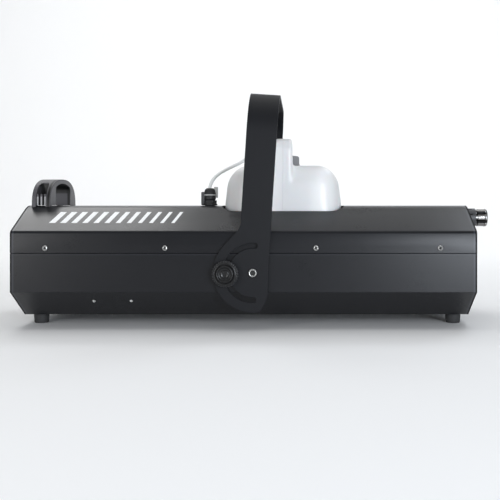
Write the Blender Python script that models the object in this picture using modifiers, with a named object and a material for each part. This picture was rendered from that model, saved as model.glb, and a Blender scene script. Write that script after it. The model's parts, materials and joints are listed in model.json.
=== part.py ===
"""Fog machine: a folded steel casing on rubber feet, with a swivelling hanging bracket, a lift-out
fluid tank in a recess, a solenoid pump, a heater block with its nozzle, and a rear control panel.

Metres, +Z up. The nozzle is at the +X end, the control panel at the -X end. The origin is on the
ground, at the middle of the overall length and width.
"""

import math

import bmesh
import bpy
from mathutils import Matrix, Vector

# Casing: a prism of eight-sided section, lying along X
BODY_LENGTH = 0.690
BODY_WIDTH = 0.320
FOOT_HEIGHT = 0.015
TOP_FLAT_WIDTH = 0.150
BOTTOM_FLAT_WIDTH = 0.178
UPPER_BAND_DROP = 0.0385
SIDE_HEIGHT = 0.0895
LOWER_BAND_DROP = 0.041
SEAM_BELOW_TOP = 0.070
SHEET = 0.0015
BEND_RADIUS = 0.003
TOP_FOLD_RADIUS = 0.060
GAP = 0.0003

# Overall length past the casing's two ends
NOZZLE_REACH = 0.046
PANEL_REACH = 0.012

BOTTOM_Z = FOOT_HEIGHT
TOP_Z = BOTTOM_Z + LOWER_BAND_DROP + SIDE_HEIGHT + UPPER_BAND_DROP
SIDE_TOP_Z = TOP_Z - UPPER_BAND_DROP
SIDE_BOTTOM_Z = BOTTOM_Z + LOWER_BAND_DROP
SEAM_Z = TOP_Z - SEAM_BELOW_TOP
REAR_X = -(BODY_LENGTH + NOZZLE_REACH - PANEL_REACH) / 2
FRONT_X = REAR_X + BODY_LENGTH
HALF_WIDTH = BODY_WIDTH / 2
INNER_FLOOR_Z = BOTTOM_Z + SHEET + GAP

# The rounded fold between the deck and each upper band
UPPER_BAND_ANGLE = math.atan2(UPPER_BAND_DROP, (BODY_WIDTH - TOP_FLAT_WIDTH) / 2)
FOLD_Y = TOP_FLAT_WIDTH / 2 - TOP_FOLD_RADIUS * math.tan(UPPER_BAND_ANGLE / 2)
FOLD_DROP = TOP_FOLD_RADIUS * (1 / math.cos(UPPER_BAND_ANGLE / 2) - 1)

# Fasteners
SCREW_HEAD_RADIUS = 0.0042
SCREW_HEAD_HEIGHT = 0.0026
SCREW_SHANK_RADIUS = 0.00175
SCREW_LENGTH = 0.009
SCREW_BELOW_TOP = 0.0627
COVER_SCREW_STATIONS = (0.052, 0.229, 0.452, 0.6355)
FLANGE_HEIGHT = 0.016

# Feet
FOOT_RADIUS = 0.012
FOOT_INSET_X = 0.021
FOOT_Y = 0.070

# Tank and its recess
TANK_STATION = 0.4013
TANK_WIDTH = 0.185
TANK_DEPTH = 0.178
TANK_BOTTOM_Z = 0.0735
TANK_SHOULDER_Z = TOP_Z + 0.064
TANK_HANDLE_Z = TOP_Z + 0.1055
TANK_WALL = 0.0022
TANK_CORNER = 0.034
TANK_TAPER = (0.925, 0.975)
TANK_HANDLE_WIDTH = 0.028
OPENING_WIDTH = 0.191
OPENING_DEPTH = 0.188
RECESS_FLOOR_Z = 0.070
RECESS_WALL = 0.0012
OPENING_CORNER = 0.022
CAP_Y = 0.045
CAP_RADIUS = 0.026
NECK_RADIUS = 0.0205
NECK_BORE = 0.017
NECK_HEIGHT = 0.017

# Hanging bracket
PIVOT_STATION = 0.359
PIVOT_Z = 0.0852
BRACKET_LEAN = math.radians(3.6)
BRACKET_RISE = 0.270
BRACKET_BEND = 0.062
STRAP_WIDTH = 0.045
STRAP_THICKNESS = 0.004
BRACKET_CLEARANCE = 0.0035
PADDLE_RADIUS = 0.0585
SLOT_RADIUS = 0.040
SLOT_WIDTH = 0.0084
SLOT_START = math.radians(89)
SLOT_END = math.radians(275)
KNOB_RADIUS = 0.0195
KNOB_HEIGHT = 0.017
STUD_RADIUS = 0.0036

# Hose and its fitting on the deck
HOSE_RADIUS = 0.003
FITTING_STATION = 0.283
FITTING_Y = -0.040
FITTING_HEIGHT = 0.028

# Carrying handle
HANDLE_STATION = 0.0220
HANDLE_THICK = 0.0283
HANDLE_LENGTH = 0.158
HANDLE_HEIGHT = 0.043
HANDLE_ROUNDNESS = 2.5
HAND_OPENING_LENGTH = 0.089
HAND_OPENING_HEIGHT = 0.0363
HAND_OPENING_CORNER = 0.006
HAND_OPENING_CROWN = 0.149

# Heater and nozzle
NOZZLE_Z = TOP_Z - 0.020
NOZZLE_RADIUS = 0.0153
GUARD_LENGTH = 0.0265
BLOCK_REAR_X = 0.150
BLOCK_FRONT_X = 0.290
BLOCK_HALF_WIDTH = 0.055
BLOCK_BOTTOM_Z = 0.045
BLOCK_TOP_Z = 0.135

# Control panel on the rear plate
BUTTON_YS = (-0.086, -0.066, -0.046, -0.026)
BUTTON_Z = 0.103
BUTTON_RADIUS = 0.0045
ROCKER_Y = 0.088
ROCKER_Z = 0.121
INLET_Y = 0.088
INLET_Z = 0.073
FUSE_Y = 0.036
FUSE_Z = 0.075
SIGNAL_YS = (-0.078, -0.036)
SIGNAL_Z = 0.062

PARTS = "fog_machine"
CUTTERS = "cutters"
AWAY = {"-X": (0, -math.pi / 2, 0), "+X": (0, math.pi / 2, 0),
        "-Y": (math.pi / 2, 0, 0), "+Y": (-math.pi / 2, 0, 0), "+Z": (0, 0, 0)}


def at(station):
    """World X of a place measured from the casing's rear end."""
    return REAR_X + station


PIVOT_X = at(PIVOT_STATION)
TANK_X = at(TANK_STATION)
FITTING_X = at(FITTING_STATION)
KNOB_ANGLE = math.radians(181.5)
KNOB_X = PIVOT_X + SLOT_RADIUS * math.cos(KNOB_ANGLE)
KNOB_Z = PIVOT_Z + SLOT_RADIUS * math.sin(KNOB_ANGLE)
LEG_INNER_Y = HALF_WIDTH + BRACKET_CLEARANCE
LEG_OUTER_Y = LEG_INNER_Y + STRAP_THICKNESS


# ---------------------------------------------------------------- scene and materials

def clear_scene():
    for obj in list(bpy.data.objects):
        bpy.data.objects.remove(obj, do_unlink=True)


def new_collection(name):
    collection = bpy.data.collections.new(name)
    bpy.context.scene.collection.children.link(collection)
    return collection


def new_material(name, color, roughness, metallic=0.0):
    material = bpy.data.materials.new(name)
    material.use_nodes = True
    shader = material.node_tree.nodes["Principled BSDF"]
    shader.inputs["Base Color"].default_value = (*color, 1.0)
    shader.inputs["Roughness"].default_value = roughness
    shader.inputs["Metallic"].default_value = metallic
    return material


# ---------------------------------------------------------------- shape helpers

def add_object(name, data, material=None, location=(0, 0, 0), rotation=(0, 0, 0)):
    obj = bpy.data.objects.new(name, data)
    obj.location = location
    obj.rotation_euler = rotation
    if material is None:
        obj.hide_render = True
        obj.display_type = "WIRE"
        bpy.data.collections[CUTTERS].objects.link(obj)
    else:
        data.materials.append(material)
        bpy.data.collections[PARTS].objects.link(obj)
    return obj


def mesh_object(name, bm, material=None, location=(0, 0, 0), rotation=(0, 0, 0)):
    mesh = bpy.data.meshes.new(name)
    bm.to_mesh(mesh)
    bm.free()
    return add_object(name, mesh, material, location, rotation)


def box(name, low, high, material=None, bevel=0.0, segments=1):
    """A box between two corners, its origin at its middle."""
    low, high = Vector(low), Vector(high)
    bm = bmesh.new()
    bmesh.ops.create_cube(bm, size=1.0)
    bmesh.ops.scale(bm, vec=high - low, verts=bm.verts)
    obj = mesh_object(name, bm, material, (low + high) / 2)
    if bevel:
        soften(obj, bevel, segments)
    return obj


def soften(obj, width, segments=1, angle=40):
    bevel = obj.modifiers.new("Soft edges", "BEVEL")
    bevel.width = width
    bevel.segments = segments
    bevel.limit_method = "ANGLE"
    bevel.angle_limit = math.radians(angle)
    return obj


def turned(name, profile, material=None, location=(0, 0, 0), way="+Z", steps=20, ring=False):
    """A turned shape: (radius, height) points down its outer side; a ring's come back up its bore."""
    mesh = bpy.data.meshes.new(name)
    count = len(profile)
    edges = [(i, i + 1) for i in range(count - 1)]
    if ring:
        edges.append((count - 1, 0))
    mesh.from_pydata([(radius, 0.0, height) for radius, height in profile], edges, [])
    obj = add_object(name, mesh, material, location, AWAY[way])
    screw = obj.modifiers.new("Turn", "SCREW")
    screw.steps = screw.render_steps = steps
    screw.use_merge_vertices = True
    screw.merge_threshold = 0.00001
    return obj


def rod(name, radius, low, high, material=None, location=(0, 0, 0), way="+Z", steps=20):
    return turned(name, [(0, high), (radius, high), (radius, low), (0, low)],
                  material, location, way, steps)


def to_mesh(obj):
    """Turns a curve object, or one with modifiers, into a welded mesh object of the same name."""
    bpy.context.view_layer.update()
    graph = bpy.context.evaluated_depsgraph_get()
    mesh = bpy.data.meshes.new_from_object(obj.evaluated_get(graph), depsgraph=graph)
    bm = bmesh.new()
    bm.from_mesh(mesh)
    bmesh.ops.remove_doubles(bm, verts=bm.verts, dist=0.000001)
    bmesh.ops.recalc_face_normals(bm, faces=bm.faces)
    bm.to_mesh(mesh)
    bm.free()
    name, matrix = obj.name, obj.matrix_world.copy()
    hidden, display, home = obj.hide_render, obj.display_type, obj.users_collection[0]
    bpy.data.objects.remove(obj, do_unlink=True)
    solid = bpy.data.objects.new(name, mesh)
    solid.matrix_world = matrix
    solid.hide_render, solid.display_type = hidden, display
    home.objects.link(solid)
    return solid


def outline_solid(name, loops, thickness, material=None, location=(0, 0, 0), way="+Z"):
    """A flat solid from closed outlines in its own XY plane; later loops inside the first are holes."""
    curve = bpy.data.curves.new(name, "CURVE")
    curve.dimensions = "2D"
    curve.fill_mode = "BOTH"
    curve.extrude = thickness / 2
    for loop in loops:
        spline = curve.splines.new("POLY")
        spline.points.add(len(loop) - 1)
        for point, (x, y) in zip(spline.points, loop):
            point.co = (x, y, 0, 1)
        spline.use_cyclic_u = True
    return to_mesh(add_object(name, curve, material, location, AWAY[way]))


def swept_sheet(name, profile, width, thickness, material=None, location=(0, 0, 0),
                bend=BEND_RADIUS, segments=2):
    """A folded strip: (y, z) points of its face, run along X for its width, then thickened."""
    bm = bmesh.new()
    points = [bm.verts.new((-width / 2, y, z)) for y, z in profile]
    edges = [bm.edges.new(pair) for pair in zip(points, points[1:])]
    grown = bmesh.ops.extrude_edge_only(bm, edges=edges)["geom"]
    moved = [item for item in grown if isinstance(item, bmesh.types.BMVert)]
    bmesh.ops.translate(bm, vec=(width, 0, 0), verts=moved)
    obj = mesh_object(name, bm, material, location)
    if bend:
        bevel = soften(obj, bend, segments, angle=15).modifiers[-1]
        bevel.name = "Fold radius"
    solidify = obj.modifiers.new("Sheet", "SOLIDIFY")
    solidify.thickness = thickness
    solidify.offset = 1.0
    solidify.use_even_offset = True
    return obj


def tube(name, route, radius, material, resolution=2, smooth=6):
    """A round tube along a smooth curve through the route's points."""
    points = smooth_route(route, smooth)
    curve = bpy.data.curves.new(name, "CURVE")
    curve.dimensions = "3D"
    curve.bevel_depth = radius
    curve.bevel_resolution = resolution
    curve.use_fill_caps = True
    spline = curve.splines.new("POLY")
    spline.points.add(len(points) - 1)
    for knot, point in zip(spline.points, points):
        knot.co = (*point, 1)
    return add_object(name, curve, material)


def smooth_route(route, steps):
    """Catmull-Rom points through the route, with steps between each two of its points."""
    knots = [Vector(p) for p in route]
    knots = [2 * knots[0] - knots[1], *knots, 2 * knots[-1] - knots[-2]]
    points = []
    for a, b, c, d in zip(knots, knots[1:], knots[2:], knots[3:]):
        for step in range(steps):
            t = step / steps
            points.append(0.5 * (2 * b + (c - a) * t + (2 * a - 5 * b + 4 * c - d) * t ** 2
                                 + (3 * b - a - 3 * c + d) * t ** 3))
    return [*points, knots[-2]]


def combine(obj, other, operation="DIFFERENCE"):
    modifier = obj.modifiers.new(operation.title(), "BOOLEAN")
    modifier.operation = operation
    modifier.object = other
    modifier.solver = "EXACT"
    return obj


def cut(obj, *cutters):
    for cutter in cutters:
        combine(obj, cutter)
    return obj


def join(obj, *others):
    for other in others:
        combine(obj, other, "UNION")
    return obj


def arc(center, radius, start, end, steps):
    cx, cy = center
    angles = [start + (end - start) * i / steps for i in range(steps + 1)]
    return [(cx + radius * math.cos(a), cy + radius * math.sin(a)) for a in angles]


def rounded_rectangle(width, height, radius, steps=4, center=(0, 0)):
    x, y = width / 2 - radius, height / 2 - radius
    corners = ((x, y, 0), (-x, y, 90), (-x, -y, 180), (x, -y, 270))
    loop = []
    for cx, cy, start in corners:
        loop += arc((cx + center[0], cy + center[1]), radius,
                    math.radians(start), math.radians(start + 90), steps)
    return loop


def rounded_crown(half, height, roundness, steps):
    """A quarter of a rounded arch, from its foot at (half, 0) up to its crown at (0, height)."""
    angles = [math.pi / 2 * i / steps for i in range(steps + 1)]
    return [(half * math.cos(a) ** (2 / roundness) if i < steps else 0.0,
             height * math.sin(a) ** (2 / roundness)) for i, a in enumerate(angles)]


def circle(radius, center=(0, 0), steps=24):
    return arc(center, radius, 0, math.tau * (1 - 1 / steps), steps - 1)


def section(inset=0.0):
    """The casing's (y, z) section, moved inwards by inset, anticlockwise from lower right."""
    top, bottom = TOP_FLAT_WIDTH / 2, BOTTOM_FLAT_WIDTH / 2
    outer = [Vector(p) for p in (
        (bottom, BOTTOM_Z), (HALF_WIDTH, SIDE_BOTTOM_Z), (HALF_WIDTH, SIDE_TOP_Z), (top, TOP_Z),
        (-top, TOP_Z), (-HALF_WIDTH, SIDE_TOP_Z), (-HALF_WIDTH, SIDE_BOTTOM_Z), (-bottom, BOTTOM_Z))]
    points = []
    for before, here, after in zip([outer[-1], *outer], outer, [*outer[1:], outer[0]]):
        arriving, leaving = (here - before).normalized(), (after - here).normalized()
        inward_a = Vector((-arriving.y, arriving.x))
        inward_b = Vector((-leaving.y, leaving.x))
        points.append(tuple(here + (inward_a + inward_b) * inset / (1 + inward_a.dot(inward_b))))
    return points


def prism_along_x(name, loops, length, center_x, material=None):
    """A solid of (y, z) outlines, run along X."""
    obj = outline_solid(name, loops, length, material)
    obj.matrix_world = Matrix(((0, 0, 1, center_x), (1, 0, 0, 0), (0, 1, 0, 0), (0, 0, 0, 1)))
    return obj


def prism_along_y(name, loops, length, center_y, material=None):
    """A solid of (x, z) outlines, run along Y."""
    obj = outline_solid(name, loops, length, material)
    obj.matrix_world = Matrix(((1, 0, 0, 0), (0, 0, -1, center_y), (0, 1, 0, 0), (0, 0, 0, 1)))
    return obj


# ---------------------------------------------------------------- casing

def make_cover(steel):
    """The upper half of the casing, with the tank's opening and its screw holes."""
    half = [(HALF_WIDTH, SEAM_Z), (HALF_WIDTH, SIDE_TOP_Z),
            *arc((FOLD_Y, TOP_Z - TOP_FOLD_RADIUS), TOP_FOLD_RADIUS,
                 math.pi / 2 - UPPER_BAND_ANGLE, math.pi / 2, 4)]
    profile = half + [(-y, z) for y, z in half[::-1]]
    cover = swept_sheet("top_cover", profile, BODY_LENGTH, SHEET, steel, (at(BODY_LENGTH / 2), 0, 0))
    opening = outline_solid("cut_tank_opening",
                            [rounded_rectangle(OPENING_WIDTH, OPENING_DEPTH, OPENING_CORNER, 5)],
                            0.060, None, (TANK_X, 0, TOP_Z))
    cut(cover, opening)
    cut(cover, rod("cut_fitting_hole", 0.0085, -0.01, 0.01, None, (FITTING_X, FITTING_Y, TOP_Z)))
    return cover


def make_tray(steel):
    """The lower half of the casing, with flanges that rise behind the cover's edges."""
    flat, side = BOTTOM_FLAT_WIDTH / 2, HALF_WIDTH
    step = SHEET + GAP
    half = [(side - step, SEAM_Z + FLANGE_HEIGHT), (side - step, SEAM_Z - GAP),
            (side, SEAM_Z - 0.0009), (side, SIDE_BOTTOM_Z), (flat, BOTTOM_Z)]
    profile = [(-y, z) for y, z in half] + half[::-1]
    return swept_sheet("bottom_tray", profile, BODY_LENGTH, SHEET, steel,
                       (at(BODY_LENGTH / 2), 0, 0), bend=0)


def make_cover_screws(bright, cover, tray):
    """Eight pan-head screws through the cover's edges into the tray's flanges."""
    profile = [(0, SCREW_HEAD_HEIGHT), (0.55 * SCREW_HEAD_RADIUS, SCREW_HEAD_HEIGHT),
               (0.9 * SCREW_HEAD_RADIUS, 0.7 * SCREW_HEAD_HEIGHT),
               (SCREW_HEAD_RADIUS, GAP), (SCREW_SHANK_RADIUS, GAP),
               (SCREW_SHANK_RADIUS, -SCREW_LENGTH), (0, -SCREW_LENGTH)]
    number = 1
    for side, way in ((-1, "-Y"), (1, "+Y")):
        for station in COVER_SCREW_STATIONS:
            place = (at(station), side * HALF_WIDTH, TOP_Z - SCREW_BELOW_TOP)
            turned(f"cover_screw_{number}", profile, bright, place, way, 10)
            hole = rod(f"cut_screw_{number}", SCREW_SHANK_RADIUS + 0.0004, -0.02, 0.02,
                       None, place, way, 12)
            cut(cover, hole)
            cut(tray, hole)
            number += 1


def make_end_plates(steel):
    """Flat plates that close the two ends, just inside the folded sheets."""
    outline = section(2 * SHEET + 2 * GAP)
    rear = prism_along_x("rear_end_plate", [outline], SHEET, REAR_X + 0.0015, steel)
    front = prism_along_x("front_end_plate", [outline], SHEET, FRONT_X - 0.0015, steel)
    cut(front, rod("cut_nozzle_hole", 0.0095, -0.02, 0.02, None, (FRONT_X, 0, NOZZLE_Z), "+X"))
    for row in range(5):
        for side in (-1, 1):
            middle = side * 0.058
            low_z = 0.062 + row * 0.013
            slot = box(f"cut_vent_{row}_{side}", (FRONT_X - 0.01, middle - 0.035, low_z),
                       (FRONT_X + 0.01, middle + 0.035, low_z + 0.0032))
            cut(front, slot)
    return rear, front


def make_feet(rubber):
    """Four short tapered rubber feet under the tray."""
    profile = [(0, FOOT_HEIGHT - GAP), (FOOT_RADIUS, FOOT_HEIGHT - GAP),
               (0.92 * FOOT_RADIUS, 0.0008), (0.85 * FOOT_RADIUS, 0), (0, 0)]
    number = 1
    for x in (REAR_X + FOOT_INSET_X, FRONT_X - FOOT_INSET_X):
        for y in (-FOOT_Y, FOOT_Y):
            turned(f"rubber_foot_{number}", profile, rubber, (x, y, 0), steps=24)
            number += 1


def make_handle(plastic):
    """The carrying handle: a moulded arch across the deck, hollowed and ribbed in each leg's outer face."""
    half, crown, inner = HANDLE_LENGTH / 2, HANDLE_HEIGHT, HAND_OPENING_LENGTH / 2
    corner, flat_arc, rise = HAND_OPENING_CORNER, HAND_OPENING_CROWN, HAND_OPENING_HEIGHT
    splay = math.asin((half - FOLD_Y) / (TOP_FOLD_RADIUS + GAP))
    leg = [(inner, GAP), *arc((FOLD_Y, -TOP_FOLD_RADIUS), TOP_FOLD_RADIUS + GAP,
                              math.pi / 2, math.pi / 2 - splay, 4)]
    right = leg + rounded_crown(half, crown, HANDLE_ROUNDNESS, 12)
    top_end = math.asin((inner - 0.7 * corner) / flat_arc)
    corner_z = rise - flat_arc + flat_arc * math.cos(math.asin((inner - corner) / flat_arc)) - corner
    under = arc((0, rise - flat_arc), flat_arc, math.pi / 2, math.pi / 2 - top_end, 5)
    under += arc((inner - corner, corner_z), corner, math.radians(60), 0, 3)
    outline = [*right, *[(-y, z) for y, z in right[-2::-1]], *[(-y, z) for y, z in under[::-1]], *under[1:]]
    handle = prism_along_x("carry_handle", [outline], HANDLE_THICK, at(HANDLE_STATION), plastic)
    handle.location.z += TOP_Z

    hollow, floor_y, hollow_top, rib_top = 0.0080, 0.0495, 0.0380, 0.0180
    pocket = [(-hollow, -0.020), (hollow, -0.020),
              *arc((0, hollow_top - hollow), hollow, 0, math.pi, 8)]
    for side in (-1, 1):
        cutter = prism_along_y(f"cut_handle_pocket_{side}", [pocket], 0.040, side * (floor_y + 0.020))
        cutter.location += Vector((at(HANDLE_STATION), 0, TOP_Z))
        cut(handle, cutter)
        for rib in (-1, 0, 1):
            x = at(HANDLE_STATION) + 0.0058 * rib
            ends = sorted((side * (floor_y - 0.002), side * (half - 0.0030)))
            join(handle, box(f"join_handle_rib_{side}_{rib}", (x - 0.0013, ends[0], TOP_Z + 0.0004),
                             (x + 0.0013, ends[1], TOP_Z + rib_top)))
    return handle


# ---------------------------------------------------------------- bracket

def bracket_leg_outline():
    """A leg in the bracket's own (across, up) plane, its pivot at the origin."""
    half = STRAP_WIDTH / 2
    top = BRACKET_RISE - BRACKET_BEND
    paddle = arc((0, 0), PADDLE_RADIUS, math.radians(140), math.radians(278), 14)
    return [(half, top), (-half, top), (-half, 0.069), (-0.0262, 0.0605), *paddle, (0.0147, -0.0552),
            (0.0185, -0.0485), (0.0216, -0.0412), (0.0240, -0.0320), (half, 0.0100)]


def slot_outline():
    """The curved slot that the lock knob's stud runs in."""
    inner, outer = SLOT_RADIUS - SLOT_WIDTH / 2, SLOT_RADIUS + SLOT_WIDTH / 2
    end = (SLOT_RADIUS * math.cos(SLOT_END), SLOT_RADIUS * math.sin(SLOT_END))
    start = (SLOT_RADIUS * math.cos(SLOT_START), SLOT_RADIUS * math.sin(SLOT_START))
    return [*arc((0, 0), outer, SLOT_START, SLOT_END, 14),
            *arc(end, SLOT_WIDTH / 2, SLOT_END, SLOT_END + math.pi, 5)[1:-1],
            *arc((0, 0), inner, SLOT_END, SLOT_START, 14),
            *arc(start, SLOT_WIDTH / 2, SLOT_START + math.pi, SLOT_START + math.tau, 5)[1:-1]]


def make_bracket(steel):
    """A flat steel strap bent over the casing, with a slotted paddle at each foot."""
    flat = LEG_OUTER_Y - BRACKET_BEND
    rise = BRACKET_RISE - BRACKET_BEND
    right = arc((flat, rise), BRACKET_BEND, 0, math.pi / 2, 8)
    left = [(-y, z) for y, z in right[::-1]]
    start = [(LEG_OUTER_Y, rise - 0.010)]
    profile = [*start, *right, *left, (-LEG_OUTER_Y, rise - 0.010)]
    bracket = swept_sheet("bracket", profile, STRAP_WIDTH, STRAP_THICKNESS, steel, bend=0)
    outline = bracket_leg_outline()
    for side in (-1, 1):
        middle = side * (LEG_OUTER_Y - STRAP_THICKNESS / 2)
        leg = prism_along_y(f"join_leg_{side}", [outline, slot_outline(), circle(0.0052)],
                            STRAP_THICKNESS, middle)
        join(bracket, leg)
    cut(bracket, rod("cut_clamp_hole", 0.0065, BRACKET_RISE - 0.02, BRACKET_RISE + 0.02))
    bracket = to_mesh(bracket)
    lean = Matrix.Rotation(BRACKET_LEAN, 4, "Y")
    bracket.matrix_world = Matrix.Translation((PIVOT_X, 0, PIVOT_Z)) @ lean
    return bracket


def make_pivots_and_knobs(bright, plastic, tray):
    """A shoulder bolt for each leg to turn on, and a round lock knob on a stud through each slot."""
    outer = LEG_OUTER_Y - HALF_WIDTH
    bolt = [(0, outer + 0.0045), (0.0040, outer + 0.0045), (0.0064, outer + 0.003),
            (0.0064, outer + GAP), (0.0046, outer + GAP), (0.0046, BRACKET_CLEARANCE - GAP),
            (0.0100, BRACKET_CLEARANCE - GAP), (0.0100, GAP), (0.0040, GAP),
            (0.0040, -0.012), (0, -0.012)]
    seat = outer + 0.0012
    knob = [(0, seat + KNOB_HEIGHT - 0.0015), (0.0095, seat + KNOB_HEIGHT - 0.0015),
            (0.0105, seat + KNOB_HEIGHT), (0.0125, seat + KNOB_HEIGHT),
            (0.0140, seat + KNOB_HEIGHT - 0.006), (0.0180, seat + KNOB_HEIGHT - 0.0068),
            (KNOB_RADIUS, seat + KNOB_HEIGHT - 0.0085), (KNOB_RADIUS, seat + 0.002),
            (KNOB_RADIUS - 0.0025, seat), (STUD_RADIUS, seat), (STUD_RADIUS, -0.012), (0, -0.012)]
    for side, way, word in ((-1, "-Y", "near"), (1, "+Y", "far")):
        pivot = (PIVOT_X, side * HALF_WIDTH, PIVOT_Z)
        stud = (KNOB_X, side * HALF_WIDTH, KNOB_Z)
        turned(f"pivot_bolt_{word}", bolt, bright, pivot, way, 20)
        turned(f"lock_knob_{word}", knob, plastic, stud, way, 24)
        cut(tray, rod(f"cut_pivot_{word}", 0.0045, -0.01, 0.01, None, pivot, way, 16),
            rod(f"cut_stud_{word}", 0.0042, -0.01, 0.01, None, stud, way, 16))


# ---------------------------------------------------------------- tank, cap and hose

def tank_form(name, inset, material=None):
    """The tank's rounded body, its walls moved inwards by inset."""
    size = Vector((TANK_WIDTH, TANK_DEPTH, TANK_SHOULDER_Z - TANK_BOTTOM_Z)) - Vector((2, 2, 2)) * inset
    bm = bmesh.new()
    bmesh.ops.create_cube(bm, size=1.0)
    bmesh.ops.scale(bm, vec=size, verts=bm.verts)
    middle = (TANK_X, 0, (TANK_SHOULDER_Z + TANK_BOTTOM_Z) / 2)
    deck = TOP_Z - middle[2]
    bmesh.ops.bisect_plane(bm, geom=[*bm.verts, *bm.edges, *bm.faces], plane_co=(0, 0, deck),
                           plane_no=(0, 0, 1))
    upper = [v for v in bm.verts if v.co.z > size.z / 2 - 1e-6]
    bmesh.ops.scale(bm, vec=(*TANK_TAPER, 1), verts=upper)
    rest = [e for e in bm.edges if not all(v.co.z < 0 for v in e.verts)
            and not all(abs(v.co.z - deck) < 1e-6 for v in e.verts)]
    bmesh.ops.bevel(bm, geom=rest, offset=TANK_CORNER - inset, segments=5, affect="EDGES",
                     profile=0.5)
    edges = [e for e in bm.edges if all(v.co.z < -size.z / 2 + 1e-6 for v in e.verts)]
    bmesh.ops.bevel(bm, geom=edges, offset=0.006, segments=1, affect="EDGES", profile=0.5)
    bmesh.ops.remove_doubles(bm, verts=bm.verts, dist=0.00001)
    return mesh_object(name, bm, material, middle)


def make_tank(translucent):
    """A blow-moulded tank: rounded body, handle arch along its top, and a threaded neck."""
    tank = tank_form("tank", 0.0, translucent)
    top = TANK_HANDLE_Z
    front, back = -TANK_DEPTH / 2 + 0.002, 0.012
    arch = [(front, TANK_SHOULDER_Z - 0.026), (back, TANK_SHOULDER_Z - 0.026),
            (back, TANK_SHOULDER_Z + 0.006), (back - 0.010, top - 0.010), (back - 0.018, top),
            (front + 0.020, top), (front + 0.006, top - 0.006), (front, top - 0.020)]
    gap = rounded_rectangle(0.052, 0.026, 0.009, 4,
                            ((front + back) / 2 + 0.002, TANK_SHOULDER_Z + 0.0125))
    handle = prism_along_x("join_tank_handle", [arch, gap], TANK_HANDLE_WIDTH, TANK_X)
    neck = rod("join_neck", NECK_RADIUS, -0.010, NECK_HEIGHT, None, (TANK_X, CAP_Y, TANK_SHOULDER_Z))
    join(tank, handle, neck)
    cut(tank, tank_form("cut_tank_inside", TANK_WALL),
        rod("cut_neck_bore", NECK_BORE, -0.020, 0.030, None, (TANK_X, CAP_Y, TANK_SHOULDER_Z)))
    return tank


def make_cap(grey):
    """A ribbed screw cap with a hole in its crown for the hose tail."""
    ribs = 28
    low, high = 0.0035, 0.0205
    cap = rod("tank_cap", CAP_RADIUS - 0.0008, low, high, grey,
              (TANK_X, CAP_Y, TANK_SHOULDER_Z), steps=ribs)
    inside = rod("cut_cap_inside", NECK_RADIUS + 0.0005, low - 0.002, NECK_HEIGHT + GAP, None,
                 (TANK_X, CAP_Y, TANK_SHOULDER_Z), steps=ribs)
    hole = rod("cut_cap_hole", 0.0049, 0, 0.03, None, (TANK_X, CAP_Y, TANK_SHOULDER_Z), steps=16)
    cut(cap, inside, hole)
    for rib in range(0, ribs, 2):
        angle = math.tau * rib / ribs
        bar = box(f"join_rib_{rib}", (-0.0012, -0.0012, -0.0075), (0.0012, 0.0012, 0.0065))
        bar.location = (TANK_X + (CAP_RADIUS - 0.0009) * math.cos(angle),
                        CAP_Y + (CAP_RADIUS - 0.0009) * math.sin(angle), TANK_SHOULDER_Z + 0.012)
        bar.rotation_euler.z = angle
        join(cap, bar)
    return cap


def make_hose_and_tank_fittings(clear, black, grey):
    """The hose from the cap to the deck fitting, and the dip tube and filter inside the tank."""
    tail_z = TANK_SHOULDER_Z
    turned("hose_tail", [(0, 0.034), (0.0030, 0.034), (0.0040, 0.031), (0.0040, 0.0265), (0.0065, 0.0265),
                         (0.0065, 0.0208), (0.0045, 0.0208), (0.0045, 0.0100), (0, 0.0100)],
           grey, (TANK_X, CAP_Y, tail_z), steps=16)
    tail_top = tail_z + 0.034 + 2 * GAP
    fitting_top = TOP_Z + FITTING_HEIGHT
    route = [(TANK_X, CAP_Y, tail_top), (TANK_X, CAP_Y, tail_top + 0.004),
             (TANK_X - 0.004, CAP_Y - 0.002, tail_top + 0.009),
             (TANK_X - 0.016, 0.038, tail_top + 0.0095), (0.006, 0.029, tail_top + 0.001),
             (-0.014, 0.018, 0.2715), (-0.0317, 0.006, 0.2580), (-0.0430, -0.004, 0.2510),
             (-0.0545, -0.015, 0.2440), (-0.0655, -0.026, 0.2360), (-0.0740, -0.035, 0.2260),
             (FITTING_X, FITTING_Y, fitting_top + 0.002), (FITTING_X, FITTING_Y, fitting_top - 0.010)]
    tube("hose", route, HOSE_RADIUS, clear, smooth=4)
    tube("dip_tube", [(TANK_X, CAP_Y, tail_z + 0.0097), (TANK_X, CAP_Y, 0.150),
                      (TANK_X, CAP_Y - 0.004, 0.105)], 0.003, clear, smooth=4)
    turned("intake_filter", [(0, 0.1045), (0.004, 0.1045), (0.0075, 0.1000), (0.0075, 0.0850),
                             (0.0060, 0.0820), (0, 0.0820)],
           black, (TANK_X, CAP_Y - 0.004, 0), steps=16)


def make_fitting(black):
    """The bulkhead fitting on the deck: a flared foot, a hexagon and a domed push-in collar."""
    top = FITTING_HEIGHT
    bore = HOSE_RADIUS + 0.0006
    profile = [(bore, top), (0.0055, top), (0.0082, top - 0.003), (0.0095, top - 0.008),
               (0.0095, 0.010), (0.0082, 0.009), (0.0082, 0.006), (0.0120, 0.0045),
               (0.0120, GAP), (0.0080, GAP), (0.0080, -0.0190), (bore, -0.0190)]
    return turned("deck_fitting", profile, black, (FITTING_X, FITTING_Y, TOP_Z), steps=20, ring=True)


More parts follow.
